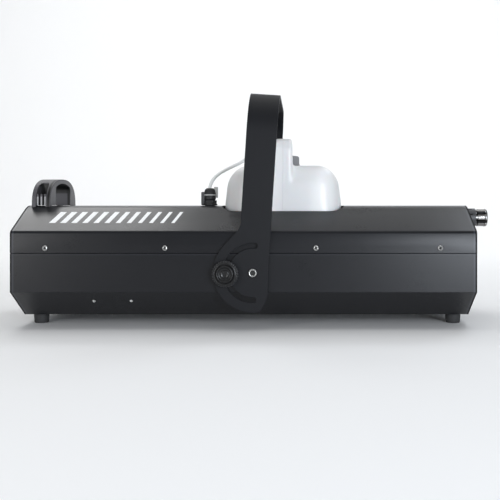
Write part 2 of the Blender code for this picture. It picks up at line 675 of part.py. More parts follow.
def make_recess(steel):
    """The tray under the opening that the tank stands in; its rim follows the cover's underside."""
    depth = TOP_Z - RECESS_FLOOR_Z
    wall = RECESS_WALL
    low_z = RECESS_FLOOR_Z - wall
    block = outline_solid("tank_recess", [rounded_rectangle(
        OPENING_WIDTH + 2 * wall, OPENING_DEPTH + 2 * wall, OPENING_CORNER + wall, 5)],
        depth + wall, steel, (TANK_X, 0, low_z + (depth + wall) / 2))
    inside = prism_along_x("keep_inside_casing", [section(SHEET + 4 * GAP + FOLD_DROP)],
                             BODY_LENGTH, at(BODY_LENGTH / 2))
    combine(block, inside, "INTERSECT")
    pocket = outline_solid("cut_recess_pocket",
                           [rounded_rectangle(OPENING_WIDTH, OPENING_DEPTH, OPENING_CORNER, 5)],
                           depth + 0.02, None, (TANK_X, 0, RECESS_FLOOR_Z + (depth + 0.02) / 2))
    return cut(block, pocket)


# ---------------------------------------------------------------- pump and heater

def make_pump(metal, coil, bright, clear, steel):
    """A solenoid piston pump on its bracket, with its plunger, spring and two fluid tubes."""
    x, y, z = at(0.143), -0.079, 0.078
    half = 0.048
    sleeve = turned("pump_body", [(0.0055, half), (0.0095, half), (0.0095, -half),
                                  (0.0022, -half), (0.0022, -0.030), (0.0055, -0.030)],
                    coil, (x, y, z), "-X", 20, ring=True)
    bobbin = prism_along_x("join_coil", [rounded_rectangle(0.040, 0.040, 0.004, 2, (y, z)),
                                         circle(0.0080, (y, z), 20)], 0.044, x)
    join(sleeve, bobbin)
    turned("pump_plunger", [(0.0018, 0.022), (0.0048, 0.022), (0.0048, -0.008),
                            (0.0018, -0.008)], bright, (x, y, z), "-X", 18, ring=True)
    turns, per_turn, radius = 5, 9, 0.0038
    start, end = x + 0.0092, x + 0.0285
    helix = []
    for i in range(turns * per_turn + 1):
        share, angle = i / (turns * per_turn), math.tau * i / per_turn
        helix.append((start + (end - start) * share, y + radius * math.cos(angle),
                      z + radius * math.sin(angle)))
    tube("pump_spring", helix, 0.0005, bright, resolution=1, smooth=1)
    web = y - 0.020 - GAP
    floor = section(SHEET + GAP)
    slope_top, slope_low = Vector(floor[6]), Vector(floor[7])
    along = (slope_low - slope_top).normalized()
    outer_end = slope_top + along * 0.012
    share = (web - slope_top.x) / along.x
    corner = slope_top + along * share
    swept_sheet("pump_bracket", [tuple(outer_end), tuple(corner), (web, z + 0.016)],
                0.070, SHEET, steel, (x, 0, 0))
    tube("fluid_tube_in", [(FITTING_X, FITTING_Y, TOP_Z - 0.0195), (FITTING_X - 0.002, -0.040, 0.150),
                           (-0.105, -0.046, 0.132), (-0.150, -0.060, 0.122), (-0.215, -0.078, 0.116),
                           (-0.262, -0.082, 0.110), (-0.284, -0.081, 0.094),
                           (-0.281, y, z + 0.002), (x - half - 0.003, y, z),
                           (x - half - GAP, y, z)], 0.003, clear, smooth=3)
    tube("fluid_tube_out", [(x + half + GAP, y, z), (x + half + 0.018, y - 0.004, z - 0.001),
                            (-0.120, -0.108, 0.066), (-0.060, -0.124, 0.060), (0.020, -0.126, 0.060),
                            (0.100, -0.122, 0.060), (0.128, -0.102, 0.060), (0.137, -0.070, 0.062),
                            (0.137, -0.040, 0.063), (BLOCK_REAR_X - 0.0080, -0.031, 0.070),
                      (BLOCK_REAR_X - 0.0010, -0.030, 0.070)],
         0.0022, steel, smooth=3)


def make_heater(aluminium, steel, bright, wool, black):
    """The heater block in its insulation and two straps, with its cut-out and the pipe to the nozzle."""
    middle = (BLOCK_REAR_X + BLOCK_FRONT_X) / 2
    box("heater_block", (BLOCK_REAR_X, -BLOCK_HALF_WIDTH, BLOCK_BOTTOM_Z),
        (BLOCK_FRONT_X, BLOCK_HALF_WIDTH, BLOCK_TOP_Z), aluminium, 0.004, 1)
    side = BLOCK_HALF_WIDTH + GAP
    swept_sheet("insulation_blanket", [(side, BLOCK_TOP_Z - 0.006), (side, BLOCK_BOTTOM_Z - GAP),
                                       (-side, BLOCK_BOTTOM_Z - GAP), (-side, BLOCK_TOP_Z - 0.006)],
                0.120, 0.007, wool, (middle, 0, 0), bend=0)
    outer = side + 0.007 + GAP + SHEET
    for word, x in (("rear", middle - 0.034), ("front", middle + 0.034)):
        swept_sheet(f"heater_strap_{word}",
                    [(outer + 0.012, INNER_FLOOR_Z + SHEET), (outer, INNER_FLOOR_Z + SHEET),
                     (outer, BLOCK_TOP_Z + GAP + SHEET), (-outer, BLOCK_TOP_Z + GAP + SHEET),
                     (-outer, INNER_FLOOR_Z + SHEET), (-outer - 0.012, INNER_FLOOR_Z + SHEET)],
                    0.018, SHEET, steel, (x, 0, 0), bend=0)
    turned("thermostat", [(0, 0.014), (0.004, 0.014), (0.004, 0.010), (0.0085, 0.010),
                          (0.0085, GAP), (0, GAP)], black, (middle, 0.020, BLOCK_TOP_Z), steps=18)
    bend = 0.010
    rise = [(0.274, 0, BLOCK_TOP_Z + GAP), (0.274, 0, NOZZLE_Z - bend - 0.004)]
    turn = [(0.274 + bend - bend * math.cos(a), 0, NOZZLE_Z - bend + bend * math.sin(a))
            for a in (math.radians(20 * i) for i in range(0, 5))]
    tube("nozzle_pipe", [*rise, *turn, (0.300, 0, NOZZLE_Z), (FRONT_X + 0.012, 0, NOZZLE_Z)],
         0.0055, bright, resolution=3, smooth=2)


def make_nozzle(bright, black):
    """The outlet outside the front plate: a slotted heat guard and the turned nozzle in its end."""
    inner = NOZZLE_RADIUS - 0.0018
    guard = turned("nozzle_guard", [(NOZZLE_RADIUS, GUARD_LENGTH), (NOZZLE_RADIUS, GAP),
                                    (inner, GAP), (inner, GUARD_LENGTH)],
                   black, (FRONT_X, 0, NOZZLE_Z), "+X", 24, ring=True)
    for turn in range(4):
        slot = box(f"cut_guard_slot_{turn}", (-0.008, -0.020, -0.0014), (0.008, 0.020, 0.0014))
        slot.location = (FRONT_X + 0.5 * GUARD_LENGTH, 0, NOZZLE_Z)
        slot.rotation_euler.x = math.pi * (turn + 0.5) / 4
        cut(guard, slot)
    tip = NOZZLE_REACH
    step = GUARD_LENGTH + GAP
    turned("nozzle", [(0.0015, tip - 0.002), (0.0085, tip), (0.0128, tip),
                      (NOZZLE_RADIUS, tip - 0.0025), (NOZZLE_RADIUS, step + 0.004),
                      (0.0145, step), (0.0122, step),
                      (0.0122, 0.0160), (0.0060, 0.0125), (0.0015, 0.0125)],
           bright, (FRONT_X, 0, NOZZLE_Z), "+X", 24, ring=True)


# ---------------------------------------------------------------- electrics

def make_electrics(board_green, black, metal, white):
    """Control board, transformer, finned heat sink and terminal block on the tray's floor."""
    floor = INNER_FLOOR_Z
    board = box("control_board", (-0.215, 0.000, floor + 0.008), (-0.095, 0.084, floor + 0.0096),
                board_green)
    parts = (((-0.205, 0.010), (-0.180, 0.034), 0.016), ((-0.160, 0.012), (-0.130, 0.030), 0.006),
             ((-0.205, 0.050), (-0.185, 0.076), 0.012), ((-0.120, 0.008), (-0.104, 0.070), 0.011),
             ((-0.165, 0.048), (-0.135, 0.070), 0.018))
    for i, (low, high, tall) in enumerate(parts):
        join(board, box(f"join_component_{i}", (*low, floor + 0.009), (*high, floor + 0.009 + tall)))
    for x in (-0.209, -0.101):
        for y in (0.006, 0.078):
            join(board, rod(f"join_standoff_{x}_{y}", 0.003, 0, 0.0088, None, (x, y, floor), steps=10))
    core = box("transformer", (-0.300, 0.022, floor), (-0.244, 0.068, floor + 0.047), metal)
    join(core, box("join_winding", (-0.290, 0.014, floor + 0.008), (-0.254, 0.076, floor + 0.039)))
    sink = box("heat_sink", (-0.200, 0.096, 0.050), (-0.130, 0.100, 0.092), metal)
    for fin in range(6):
        z = 0.0506 + fin * 0.0079
        join(sink, box(f"join_fin_{fin}", (-0.200, 0.099, z), (-0.130, 0.124, z + 0.0018)))
    block = box("terminal_block", (-0.338, 0.020, floor), (-0.318, 0.082, floor + 0.016), white)
    for way in range(5):
        y = 0.0265 + way * 0.0122
        cut(block, rod(f"cut_terminal_{way}", 0.0026, 0.010, 0.02, None, (-0.328, y, floor), steps=10))


def make_rear_panel(rear, black, white, glass, bright, red):
    """Display, four buttons, rocker switch, fuse, mains inlet and two signal sockets."""
    face = REAR_X + 0.0015 - SHEET / 2
    back = face + SHEET
    cut(rear, box("cut_display", (face - 0.01, -0.0835, 0.1235), (back + 0.01, -0.0285, 0.1465)))
    display = box("display_window", (face - 0.0015, -0.087, 0.1200), (face - GAP, -0.025, 0.1500), glass)
    join(display, box("join_display_back", (face - 0.001, -0.083, 0.1240), (back + 0.006, -0.029, 0.1460)))
    for number, y in enumerate(BUTTON_YS, 1):
        place = (face, y, BUTTON_Z)
        turned(f"button_{number}", [(0, 0.0045), (0.0032, 0.0045), (BUTTON_RADIUS, 0.0035),
                                    (BUTTON_RADIUS, -0.0018), (0.0058, -0.0018),
                                    (0.0058, -0.0040), (0, -0.0040)], white, place, "-X", 16)
        cut(rear, rod(f"cut_button_{number}", BUTTON_RADIUS + 0.0004, -0.01, 0.01, None, place, "-X", 16))

    low, high = (ROCKER_Y - 0.0135, ROCKER_Z - 0.0105), (ROCKER_Y + 0.0135, ROCKER_Z + 0.0105)
    cut(rear, box("cut_rocker", (face - 0.01, low[0], low[1]), (back + 0.01, high[0], high[1])))
    housing = box("rocker_housing", (face - 0.002, low[0] - 0.002, low[1] - 0.002),
                  (face - GAP, high[0] + 0.002, high[1] + 0.002), black)
    join(housing, box("join_rocker_body", (face - 0.001, low[0] + GAP, low[1] + GAP),
                      (back + 0.022, high[0] - GAP, high[1] - GAP)))
    cut(housing, box("cut_rocker_well", (face - 0.01, low[0] + 0.002, low[1] + 0.002),
                     (back + 0.010, high[0] - 0.002, high[1] - 0.002)))
    profile = [(-0.0105, 0.0010), (-0.0103, 0.0052), (0.0, 0.0022), (0.0103, 0.0020),
               (0.0105, -0.0010), (0.0040, -0.0065), (-0.0040, -0.0065)]
    rocker = outline_solid("rocker", [profile], 0.0160, red)
    rocker.matrix_world = Matrix(((0, -1, 0, face), (1, 0, 0, ROCKER_Y), (0, 0, 1, ROCKER_Z), (0, 0, 0, 1)))

    low, high = (INLET_Y - 0.0150, INLET_Z - 0.0115), (INLET_Y + 0.0150, INLET_Z + 0.0115)
    cut(rear, box("cut_inlet", (face - 0.01, low[0], low[1]), (back + 0.01, high[0], high[1])))
    inlet = box("power_inlet", (face - 0.0030, INLET_Y - 0.0250, INLET_Z - 0.0145),
                (face - GAP, INLET_Y + 0.0250, INLET_Z + 0.0145), black)
    join(inlet, box("join_inlet_body", (face - 0.001, low[0] + GAP, low[1] + GAP),
                    (back + 0.022, high[0] - GAP, high[1] - GAP)))
    cut(inlet, box("cut_inlet_well", (face - 0.01, low[0] + 0.0020, low[1] + 0.0020),
                   (back + 0.018, high[0] - 0.0020, high[1] - 0.0020)))
    for i, (dy, dz) in enumerate(((-0.007, -0.003), (0.0, 0.004), (0.007, -0.003))):
        join(inlet, box(f"join_pin_{i}", (back + 0.006, INLET_Y + dy - 0.001, INLET_Z + dz - 0.002),
                        (back + 0.020, INLET_Y + dy + 0.001, INLET_Z + dz + 0.002)))

    cut(rear, rod("cut_fuse", 0.0075, -0.01, 0.01, None, (face, FUSE_Y, FUSE_Z), "-X"))
    turned("fuse_holder", [(0.0046, 0.0030), (0.0095, 0.0030), (0.0095, GAP), (0.0070, GAP),
                           (0.0070, -0.030), (0.0046, -0.030)],
           black, (face, FUSE_Y, FUSE_Z), "-X", 20, ring=True)
    cap_reach = PANEL_REACH + face - REAR_X
    cap = turned("fuse_cap", [(0, cap_reach), (0.0075, cap_reach), (0.0080, cap_reach - 0.0012),
                              (0.0080, 0.0033),
                              (0.0042, 0.0033), (0.0042, -0.0200), (0, -0.0200)],
                 black, (face, FUSE_Y, FUSE_Z), "-X", 20)
    cut(cap, box("cut_fuse_slot", (face - 0.0160, FUSE_Y - 0.006, FUSE_Z - 0.0008),
                 (face - 0.0112, FUSE_Y + 0.006, FUSE_Z + 0.0008)))

    for word, y in zip(("in", "out"), SIGNAL_YS):
        cut(rear, rod(f"cut_signal_{word}", 0.0118, -0.01, 0.01, None, (face, y, SIGNAL_Z), "-X"))
        socket = box(f"signal_{word}", (face - 0.0025, y - 0.0130, SIGNAL_Z - 0.0155),
                     (face - GAP, y + 0.0130, SIGNAL_Z + 0.0155), bright)
        join(socket, rod(f"join_barrel_{word}", 0.0114, -0.022, 0.001, None, (face, y, SIGNAL_Z), "-X"))
        cut(socket, rod(f"cut_well_{word}", 0.0098, -0.015, 0.01, None, (face, y, SIGNAL_Z), "-X"))
        if word == "in":
            for i in range(3):
                angle = math.radians(90 + 120 * i)
                pin = (face, y + 0.0048 * math.cos(angle), SIGNAL_Z + 0.0048 * math.sin(angle))
                join(socket, rod(f"join_pin_{word}_{i}", 0.0012, -0.016, -0.006, None, pin, "-X", 10))
        else:
            join(socket, rod(f"join_insert_{word}", 0.0088, -0.016, -0.001, None, (face, y, SIGNAL_Z), "-X"))


# ---------------------------------------------------------------- assembly

def main():
    clear_scene()
    new_collection(PARTS)
    new_collection(CUTTERS)
    steel = new_material("black_powder_coat", (0.035, 0.037, 0.042), 0.45)
    bright = new_material("plated_steel", (0.62, 0.62, 0.62), 0.3, 1.0)
    plastic = new_material("black_plastic", (0.02, 0.02, 0.021), 0.45)
    rubber = new_material("black_rubber", (0.018, 0.018, 0.018), 0.8)
    translucent = new_material("natural_tank_plastic", (0.80, 0.81, 0.82), 0.45)
    grey = new_material("grey_cap_plastic", (0.30, 0.30, 0.31), 0.5)
    clear = new_material("clear_tube", (0.75, 0.76, 0.74), 0.3)
    aluminium = new_material("cast_aluminium", (0.55, 0.56, 0.57), 0.45, 1.0)
    wool = new_material("mineral_wool", (0.62, 0.56, 0.42), 0.95)
    board_green = new_material("green_board", (0.02, 0.14, 0.06), 0.5)
    white = new_material("white_plastic", (0.75, 0.75, 0.73), 0.5)
    glass = new_material("display_glass", (0.02, 0.02, 0.03), 0.1)
    red = new_material("red_plastic", (0.45, 0.02, 0.02), 0.35)

    cover = make_cover(steel)
    tray = make_tray(steel)
    make_cover_screws(bright, cover, tray)
    rear, _ = make_end_plates(steel)
    make_feet(rubber)
    make_handle(plastic)
    make_bracket(steel)
    make_pivots_and_knobs(bright, plastic, tray)
    make_tank(translucent)
    make_cap(grey)
    make_fitting(plastic)
    make_hose_and_tank_fittings(clear, plastic, grey)
    make_recess(steel)
    make_pump(aluminium, plastic, bright, clear, steel)
    make_heater(aluminium, steel, bright, wool, plastic)
    make_nozzle(bright, plastic)
    make_electrics(board_green, plastic, aluminium, white)
    make_rear_panel(rear, plastic, white, glass, bright, red)


main()
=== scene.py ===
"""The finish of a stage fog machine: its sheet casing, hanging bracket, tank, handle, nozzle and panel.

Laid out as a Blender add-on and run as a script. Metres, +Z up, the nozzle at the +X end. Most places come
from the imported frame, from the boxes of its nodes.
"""

import json
import math

import bmesh
import bpy
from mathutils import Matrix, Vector


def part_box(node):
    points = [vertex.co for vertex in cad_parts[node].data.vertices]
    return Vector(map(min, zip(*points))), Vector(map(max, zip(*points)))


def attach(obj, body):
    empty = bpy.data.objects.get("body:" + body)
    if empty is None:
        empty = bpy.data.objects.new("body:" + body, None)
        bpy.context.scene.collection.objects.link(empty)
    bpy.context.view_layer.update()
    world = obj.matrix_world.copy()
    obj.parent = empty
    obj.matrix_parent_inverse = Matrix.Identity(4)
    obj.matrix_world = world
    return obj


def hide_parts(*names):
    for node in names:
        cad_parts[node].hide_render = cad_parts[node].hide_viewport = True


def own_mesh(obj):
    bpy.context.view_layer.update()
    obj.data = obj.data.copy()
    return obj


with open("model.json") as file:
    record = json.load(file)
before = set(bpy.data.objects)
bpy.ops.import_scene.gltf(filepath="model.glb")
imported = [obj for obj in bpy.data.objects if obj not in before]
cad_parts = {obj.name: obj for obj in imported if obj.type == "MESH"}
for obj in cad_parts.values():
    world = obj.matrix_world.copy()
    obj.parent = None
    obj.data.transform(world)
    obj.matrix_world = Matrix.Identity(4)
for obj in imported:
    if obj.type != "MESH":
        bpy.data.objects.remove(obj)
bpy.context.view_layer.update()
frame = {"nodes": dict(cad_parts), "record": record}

bl_info = {
    "name": "Fog Machine Finish",
    "version": (1, 0, 0),
    "blender": (4, 5, 0),
    "location": "3D View > Sidebar > Fog Machine",
    "description": "Gives a packed stage fog machine its finished surfaces, fittings and studio",
    "category": "Object",
}


def corner_low(node):
    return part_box(node)[0]


def corner_high(node):
    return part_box(node)[1]


def middle_of(node):
    low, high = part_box(node)
    return (low + high) / 2


# Driving sizes, read from the frame
REAR_X = corner_low("top_cover").x
FRONT_X = corner_high("top_cover").x
DECK_Z = corner_high("top_cover").z
SEAM_Z = corner_low("top_cover").z
BELLY_Z = corner_low("bottom_tray").z
SIDE_Y = corner_high("top_cover").y
SCREW_Z = middle_of("cover_screw_1").z
PIVOT = Vector((middle_of("pivot_bolt_near").x, 0, middle_of("pivot_bolt_near").z))
KNOB = middle_of("lock_knob_near")
TANK = middle_of("tank")
CAP = middle_of("tank_cap")
FITTING = middle_of("deck_fitting")
NOZZLE = middle_of("nozzle")
HANDLE = middle_of("carry_handle")
PANEL_X = corner_low("rear_end_plate").x
PLATE_X = corner_high("front_end_plate").x

# The casing's section, from its flats and folds
BAND_TOP_Z = DECK_Z - 0.0385
BAND_LOW_Z = BELLY_Z + 0.041
DECK_HALF = 0.075
BELLY_HALF = 0.089
FOLD_RADIUS = 0.060
BAND_SLOPE = math.atan2(DECK_Z - BAND_TOP_Z, SIDE_Y - DECK_HALF)
FOLD_Y = DECK_HALF - FOLD_RADIUS * math.tan(BAND_SLOPE / 2)


# Directions on the machine
UP = (0, 0, 1)
DOWN = (0, 0, -1)
FORWARD = (1, 0, 0)
REARWARD = (-1, 0, 0)

# Fittings whose places aren't in the frame
BELLY_SCREW_X = (-0.2437, -0.1875)
BELLY_SCREW_SHARE = 0.36
PLATE_SCREW_Y = 0.138
PLATE_SCREW_Z = (0.140, 0.060)
EDGING_RADIUS = 0.0010
EDGING_SUNK = 0.0009
OPENING_CORNER = 0.022
GRAPHIC_ENDS = (-0.312, -0.111)
GRAPHIC_TOP_SHARE = 0.26
GRAPHIC_LOW_SHARE = 0.68
GRAPHIC_LEAN = 0.0085
HOSE_RADIUS = 0.0026
KNOB_STUD = 0.0036
BOLT_HEAD = 0.0064
BOLT_SHANK = 0.0046
BEZEL_WIDTH = 0.0042
BUTTON_RADIUS = 0.0045

# The tank's blow-moulded form
TANK_ROUNDING = 0.0345
TANK_LEAN = Vector((0.075, 0.025))
TANK_HANDLE_HALF = 0.0140
TANK_HANDLE_FLARE = 1.10
TANK_NECK_RADIUS = 0.0205
SKIN_FACES_LEAST = 1000


# ---------------------------------------------------------------- shader kit

class Level:
    """A socket that carries one number. Arithmetic on it adds Math nodes to its material."""

    def __init__(self, finish, socket):
        self.finish = finish
        self.socket = socket

    def math(self, operation, *others, clamp=False):
        node = self.finish.node("ShaderNodeMath", {"operation": operation, "use_clamp": clamp},
                                {i: value for i, value in enumerate((self, *others))})
        return Level(self.finish, node.outputs[0])

    def __add__(self, other):
        return self.math("ADD", other)

    def __sub__(self, other):
        return self.math("SUBTRACT", other)

    def __mul__(self, other):
        return self.math("MULTIPLY", other)

    def __truediv__(self, other):
        return self.math("DIVIDE", other)

    def __pow__(self, other):
        return self.math("POWER", other)

    def after(self, operation, other):
        node = self.finish.node("ShaderNodeMath", {"operation": operation}, {0: other, 1: self})
        return Level(self.finish, node.outputs[0])

    def __radd__(self, other):
        return self.after("ADD", other)

    def __rsub__(self, other):
        return self.after("SUBTRACT", other)

    def __rmul__(self, other):
        return self.after("MULTIPLY", other)

    def __rtruediv__(self, other):
        return self.after("DIVIDE", other)

    def __abs__(self):
        return self.math("ABSOLUTE")

    def above(self, edge, soft=0.0):
        """1 where this is over the edge and 0 under it, with a ramp as wide as soft."""
        if not soft:
            return self.math("GREATER_THAN", edge)
        return ((self - (edge - soft / 2)) / soft).math("ADD", 0.0, clamp=True)

    def below(self, edge, soft=0.0):
        return 1.0 - self.above(edge, soft)

    def between(self, low, high, soft=0.0):
        return self.above(low, soft) * self.below(high, soft)

    def larger(self, other):
        return self.math("MAXIMUM", other)

    def root(self):
        return self.math("SQRT")


class Finish:
    """One material, its nodes, and the ways to mark its surface."""

    def __init__(self, name, color, roughness, metallic=0.0, **constants):
        self.material = bpy.data.materials.new(name)
        self.material.use_nodes = True
        self.tree = self.material.node_tree
        self.shader = self.tree.nodes["Principled BSDF"]
        self.color = (*color, 1.0)
        self.shader.inputs["Base Color"].default_value = self.color
        self.shader.inputs["Roughness"].default_value = roughness
        self.shader.inputs["Metallic"].default_value = metallic
        for words, value in constants.items():
            self.shader.inputs[words.replace("_", " ").title().replace("Ior", "IOR")].default_value = value
        self.place = None

    def node(self, kind, settings=None, sockets=None):
        """Adds a node: its settings are set first, then its sockets are given values or links."""
        node = self.tree.nodes.new(kind)
        for key, value in (settings or {}).items():
            if key == "stops":
                self.set_stops(node.color_ramp, value)
            else:
                setattr(node, key, value)
        for key, value in (sockets or {}).items():
            if isinstance(value, Level):
                value = value.socket
            if isinstance(value, bpy.types.NodeSocket):
                self.tree.links.new(value, node.inputs[key])
            else:
                node.inputs[key].default_value = value
        return node

    def set_stops(self, ramp, stops):
        for _ in range(len(stops) - len(ramp.elements)):
            ramp.elements.new(0.5)
        for element, (position, color) in zip(ramp.elements, stops):
            element.position = position
            element.color = (*color, 1.0)

    def position(self):
        """Where a point is on the machine, in metres, as three levels."""
        if self.place is None:
            spot = self.node("ShaderNodeNewGeometry").outputs["Position"]
            split = self.node("ShaderNodeSeparateXYZ", {}, {0: spot})
            self.place = [Level(self, out) for out in split.outputs]
        return self.place

    def facing(self):
        """The surface's direction, as three levels."""
        split = self.node("ShaderNodeSeparateXYZ", {},
                          {0: self.node("ShaderNodeNewGeometry").outputs["Normal"]})
        return [Level(self, out) for out in split.outputs]

    def stretched(self, x=1.0, y=1.0, z=1.0):
        """A point's place with its axes scaled, to draw a pattern out along one of them."""
        spot = self.node("ShaderNodeNewGeometry").outputs["Position"]
        scaled = self.node("ShaderNodeVectorMath", {"operation": "MULTIPLY"}, {0: spot, 1: (x, y, z)})
        return scaled.outputs[0]

    def noise(self, scale, detail=3.0, roughness=0.55, vector=None):
        sockets = {"Scale": scale, "Detail": detail, "Roughness": roughness}
        sockets["Vector"] = vector or self.node("ShaderNodeNewGeometry").outputs["Position"]
        return Level(self, self.node("ShaderNodeTexNoise", {}, sockets).outputs["Fac"])

    def cells(self, scale, vector=None, feature="F1"):
        sockets = {"Scale": scale,
                   "Vector": vector or self.node("ShaderNodeNewGeometry").outputs["Position"]}
        cells = self.node("ShaderNodeTexVoronoi", {"feature": feature}, sockets)
        return Level(self, cells.outputs["Distance"])

    def tint(self, mask, color):
        """Lays another colour over the one so far, where the mask is 1."""
        base = self.shader.inputs["Base Color"]
        so_far = base.links[0].from_socket if base.links else tuple(base.default_value)
        mix = self.node("ShaderNodeMix", {"data_type": "RGBA"}, {0: mask, 6: so_far, 7: (*color, 1.0)})
        self.tree.links.new(mix.outputs[2], base)
        return self

    def vary(self, socket, level):
        self.tree.links.new(level.socket, self.shader.inputs[socket])
        return self

    def emboss(self, level, distance, strength=1.0):
        """Raises the surface by a level, over any bump that it already has."""
        sockets = {"Height": level, "Distance": distance, "Strength": strength}
        so_far = self.shader.inputs["Normal"]
        if so_far.links:
            sockets["Normal"] = so_far.links[0].from_socket
        bump = self.node("ShaderNodeBump", {}, sockets)
        self.tree.links.new(bump.outputs[0], so_far)
        return self


# ---------------------------------------------------------------- finishes

COAT_SHINE = 0.26
PLASTIC_SHINE = 0.35


def powder_coat(name, color, roughness, ends=False, shine=COAT_SHINE):
    """Fine satin powder coat: orange peel and a faint mottle; with ends, a painted highlight line and a
    painted dark edge shade at the sheets' ends, and a painted highlight along the lip.
    """
    coat = Finish(name, color, roughness, specular_ior_level=shine)
    peel = coat.noise(900.0, 2.0, 0.6)
    mottle = coat.noise(14.0, 4.0)
    coat.vary("Roughness", roughness - 0.05 + 0.06 * mottle + 0.05 * peel)
    coat.tint(mottle * 0.35, tuple(1.5 * c for c in color))
    coat.emboss(peel, 0.00006, 0.35)
    if ends:
        x, _, z = coat.position()
        reach = abs(x - (REAR_X + FRONT_X) / 2) - (FRONT_X - REAR_X) / 2
        # Painted highlight: a pale line just inside each sheet end, where light catches the returned flange.
        coat.tint(reach.between(-0.0052, -0.0030, 0.0008) * 0.6, tuple(6.0 * c for c in color))
        # Painted shade: a near-black line along the sheet's very edge, where it rounds away from the light.
        rim = reach.above(-0.0022, 0.0006)
        coat.tint(rim * 0.9, tuple(0.2 * c for c in color))
        coat.vary("Roughness", (roughness - 0.05 + 0.06 * mottle + 0.05 * peel).larger(rim * 0.85))
        # Painted highlight: a pale line along the tray's lip, just under the seam.
        painted_lip_highlight = z.between(SEAM_Z - 0.0034, SEAM_Z - 0.0012, 0.0006)
        coat.tint(painted_lip_highlight * 0.2, tuple(5.0 * c for c in color))
    return coat.material


def moulded(name, color, roughness, grain=1500.0, **constants):
    """Moulded plastic: spark-eroded grain, with a slight bloom on it."""
    plastic = Finish(name, color, roughness, **{"specular_ior_level": PLASTIC_SHINE, **constants})
    pits = plastic.cells(grain)
    bloom = plastic.noise(35.0, 3.0)
    plastic.tint(bloom * 0.4, tuple(min(1.0, 1.35 * c + 0.004) for c in color))
    plastic.vary("Roughness", roughness - 0.04 + 0.08 * bloom + 0.06 * pits)
    plastic.emboss(pits, 0.00005, 0.3)
    return plastic


def handle_plastic():
    """The handle's grained plastic: painted shade in the groove round the arch, in the hollows at its ends
    and under its grip, and painted highlights on the ribs in those hollows.
    """
    grip = moulded("handle_plastic", (0.060, 0.058, 0.064), 0.42)
    high = corner_high("carry_handle")
    x, y, z = grip.position()
    half, crown, roundness = high.y, high.z - DECK_Z, 2.5
    up = (z - DECK_Z).larger(0.0001)
    outline = ((abs(y) / half) ** roundness + (up / crown) ** roundness) ** (1 / roundness)
    depth = (y * y + up * up).root() * (1.0 / outline - 1.0)
    groove = x.between(high.x - 0.0046, high.x - 0.0012, 0.0006) * abs(grip.facing()[0]).below(0.6)
    groove = groove.larger(depth.below(0.0022, 0.0008) * abs(grip.facing()[0]).above(0.8, 0.1) * 0.8)
    # Painted shade: the groove round the arch drawn near-black, over its bump.
    grip.tint(groove, (0.004, 0.004, 0.004))
    grip.emboss(1.0 - groove, 0.0012, 1.0)
    ribs = abs(x - HANDLE.x).below(0.0082) * depth.above(0.0010) * abs(grip.facing()[1]).above(0.7)
    # Painted highlight: the ribs' faces made pale, as if lit.
    grip.tint(ribs * abs(y).above(0.0485) * z.below(DECK_Z + 0.0181), (0.30, 0.30, 0.305))
    hollow = abs(x - HANDLE.x).below(0.0079, 0.0004) * abs(y).above(0.0485, 0.0006)
    hollow = hollow * depth.above(0.0022, 0.0010)
    # Painted shade: the hollow above the ribs drawn near-black.
    grip.tint(hollow * z.above(DECK_Z + 0.0182, 0.001), (0.004, 0.004, 0.004))
    under = abs(y).below(0.0448) * z.above(DECK_Z + 0.021, 0.003) * z.below(DECK_Z + 0.0366)
    # Painted shade: near-black on the faces under the grip.
    grip.tint(under * abs(grip.facing()[0]).below(0.5), (0.005, 0.005, 0.005))
    return grip.material


def knob_plastic():
    """Glossy black plastic, with a pale painted highlight along the knob's rim."""
    knob = moulded("knob_plastic", (0.0045, 0.0045, 0.0050), 0.26, 1100.0)
    x, _, z = knob.position()
    across, up = x - KNOB.x, z - KNOB.z
    rim = (corner_high("lock_knob_near").x - corner_low("lock_knob_near").x) / 2
    # Painted highlight: a pale ring where the rounded rim catches the light.
    painted_rim_highlight = (across * across + up * up).root().above(rim - 0.0013, 0.0006)
    knob.tint(painted_rim_highlight * 0.8, (0.060, 0.060, 0.063))
    return knob.material


def plated():
    """Bright zinc plate: faint spangle and fine drawn lines."""
    zinc = Finish("zinc_plate", (0.60, 0.60, 0.59), 0.28, 0.95)
    spangle = zinc.cells(420.0)
    zinc.tint(spangle * 0.5, (0.42, 0.42, 0.40))
    zinc.vary("Roughness", 0.22 + 0.16 * spangle)
    zinc.emboss(zinc.noise(1600.0, 2.0), 0.00003, 0.3)
    return zinc.material


def polished():
    """Turned and polished steel, with fine lathe rings, and painted shade in its flutes past the guard."""
    steel = Finish("polished_nozzle_steel", (0.30, 0.295, 0.29), 0.20, 1.0)
    x, y, z = steel.position()
    rings = (x * 9000.0).math("SINE")
    film = steel.noise(60.0, 3.0)
    up = z - NOZZLE.z
    reach = (y * y + up * up).root()
    slot = reach.below(corner_high("nozzle").y - 0.0012, 0.0006) * abs(steel.facing()[0]).below(0.5)
    steel.tint(film * 0.35, (0.22, 0.20, 0.18))
    # Painted shade: the flutes inside the nozzle's full radius, past the guard, drawn near-black.
    steel.tint(slot * x.above(corner_high("nozzle_guard").x + 0.001), (0.006, 0.006, 0.006))
    steel.vary("Roughness", 0.17 + 0.12 * film)
    steel.emboss(rings, 0.00001, 0.25)
    return steel.material


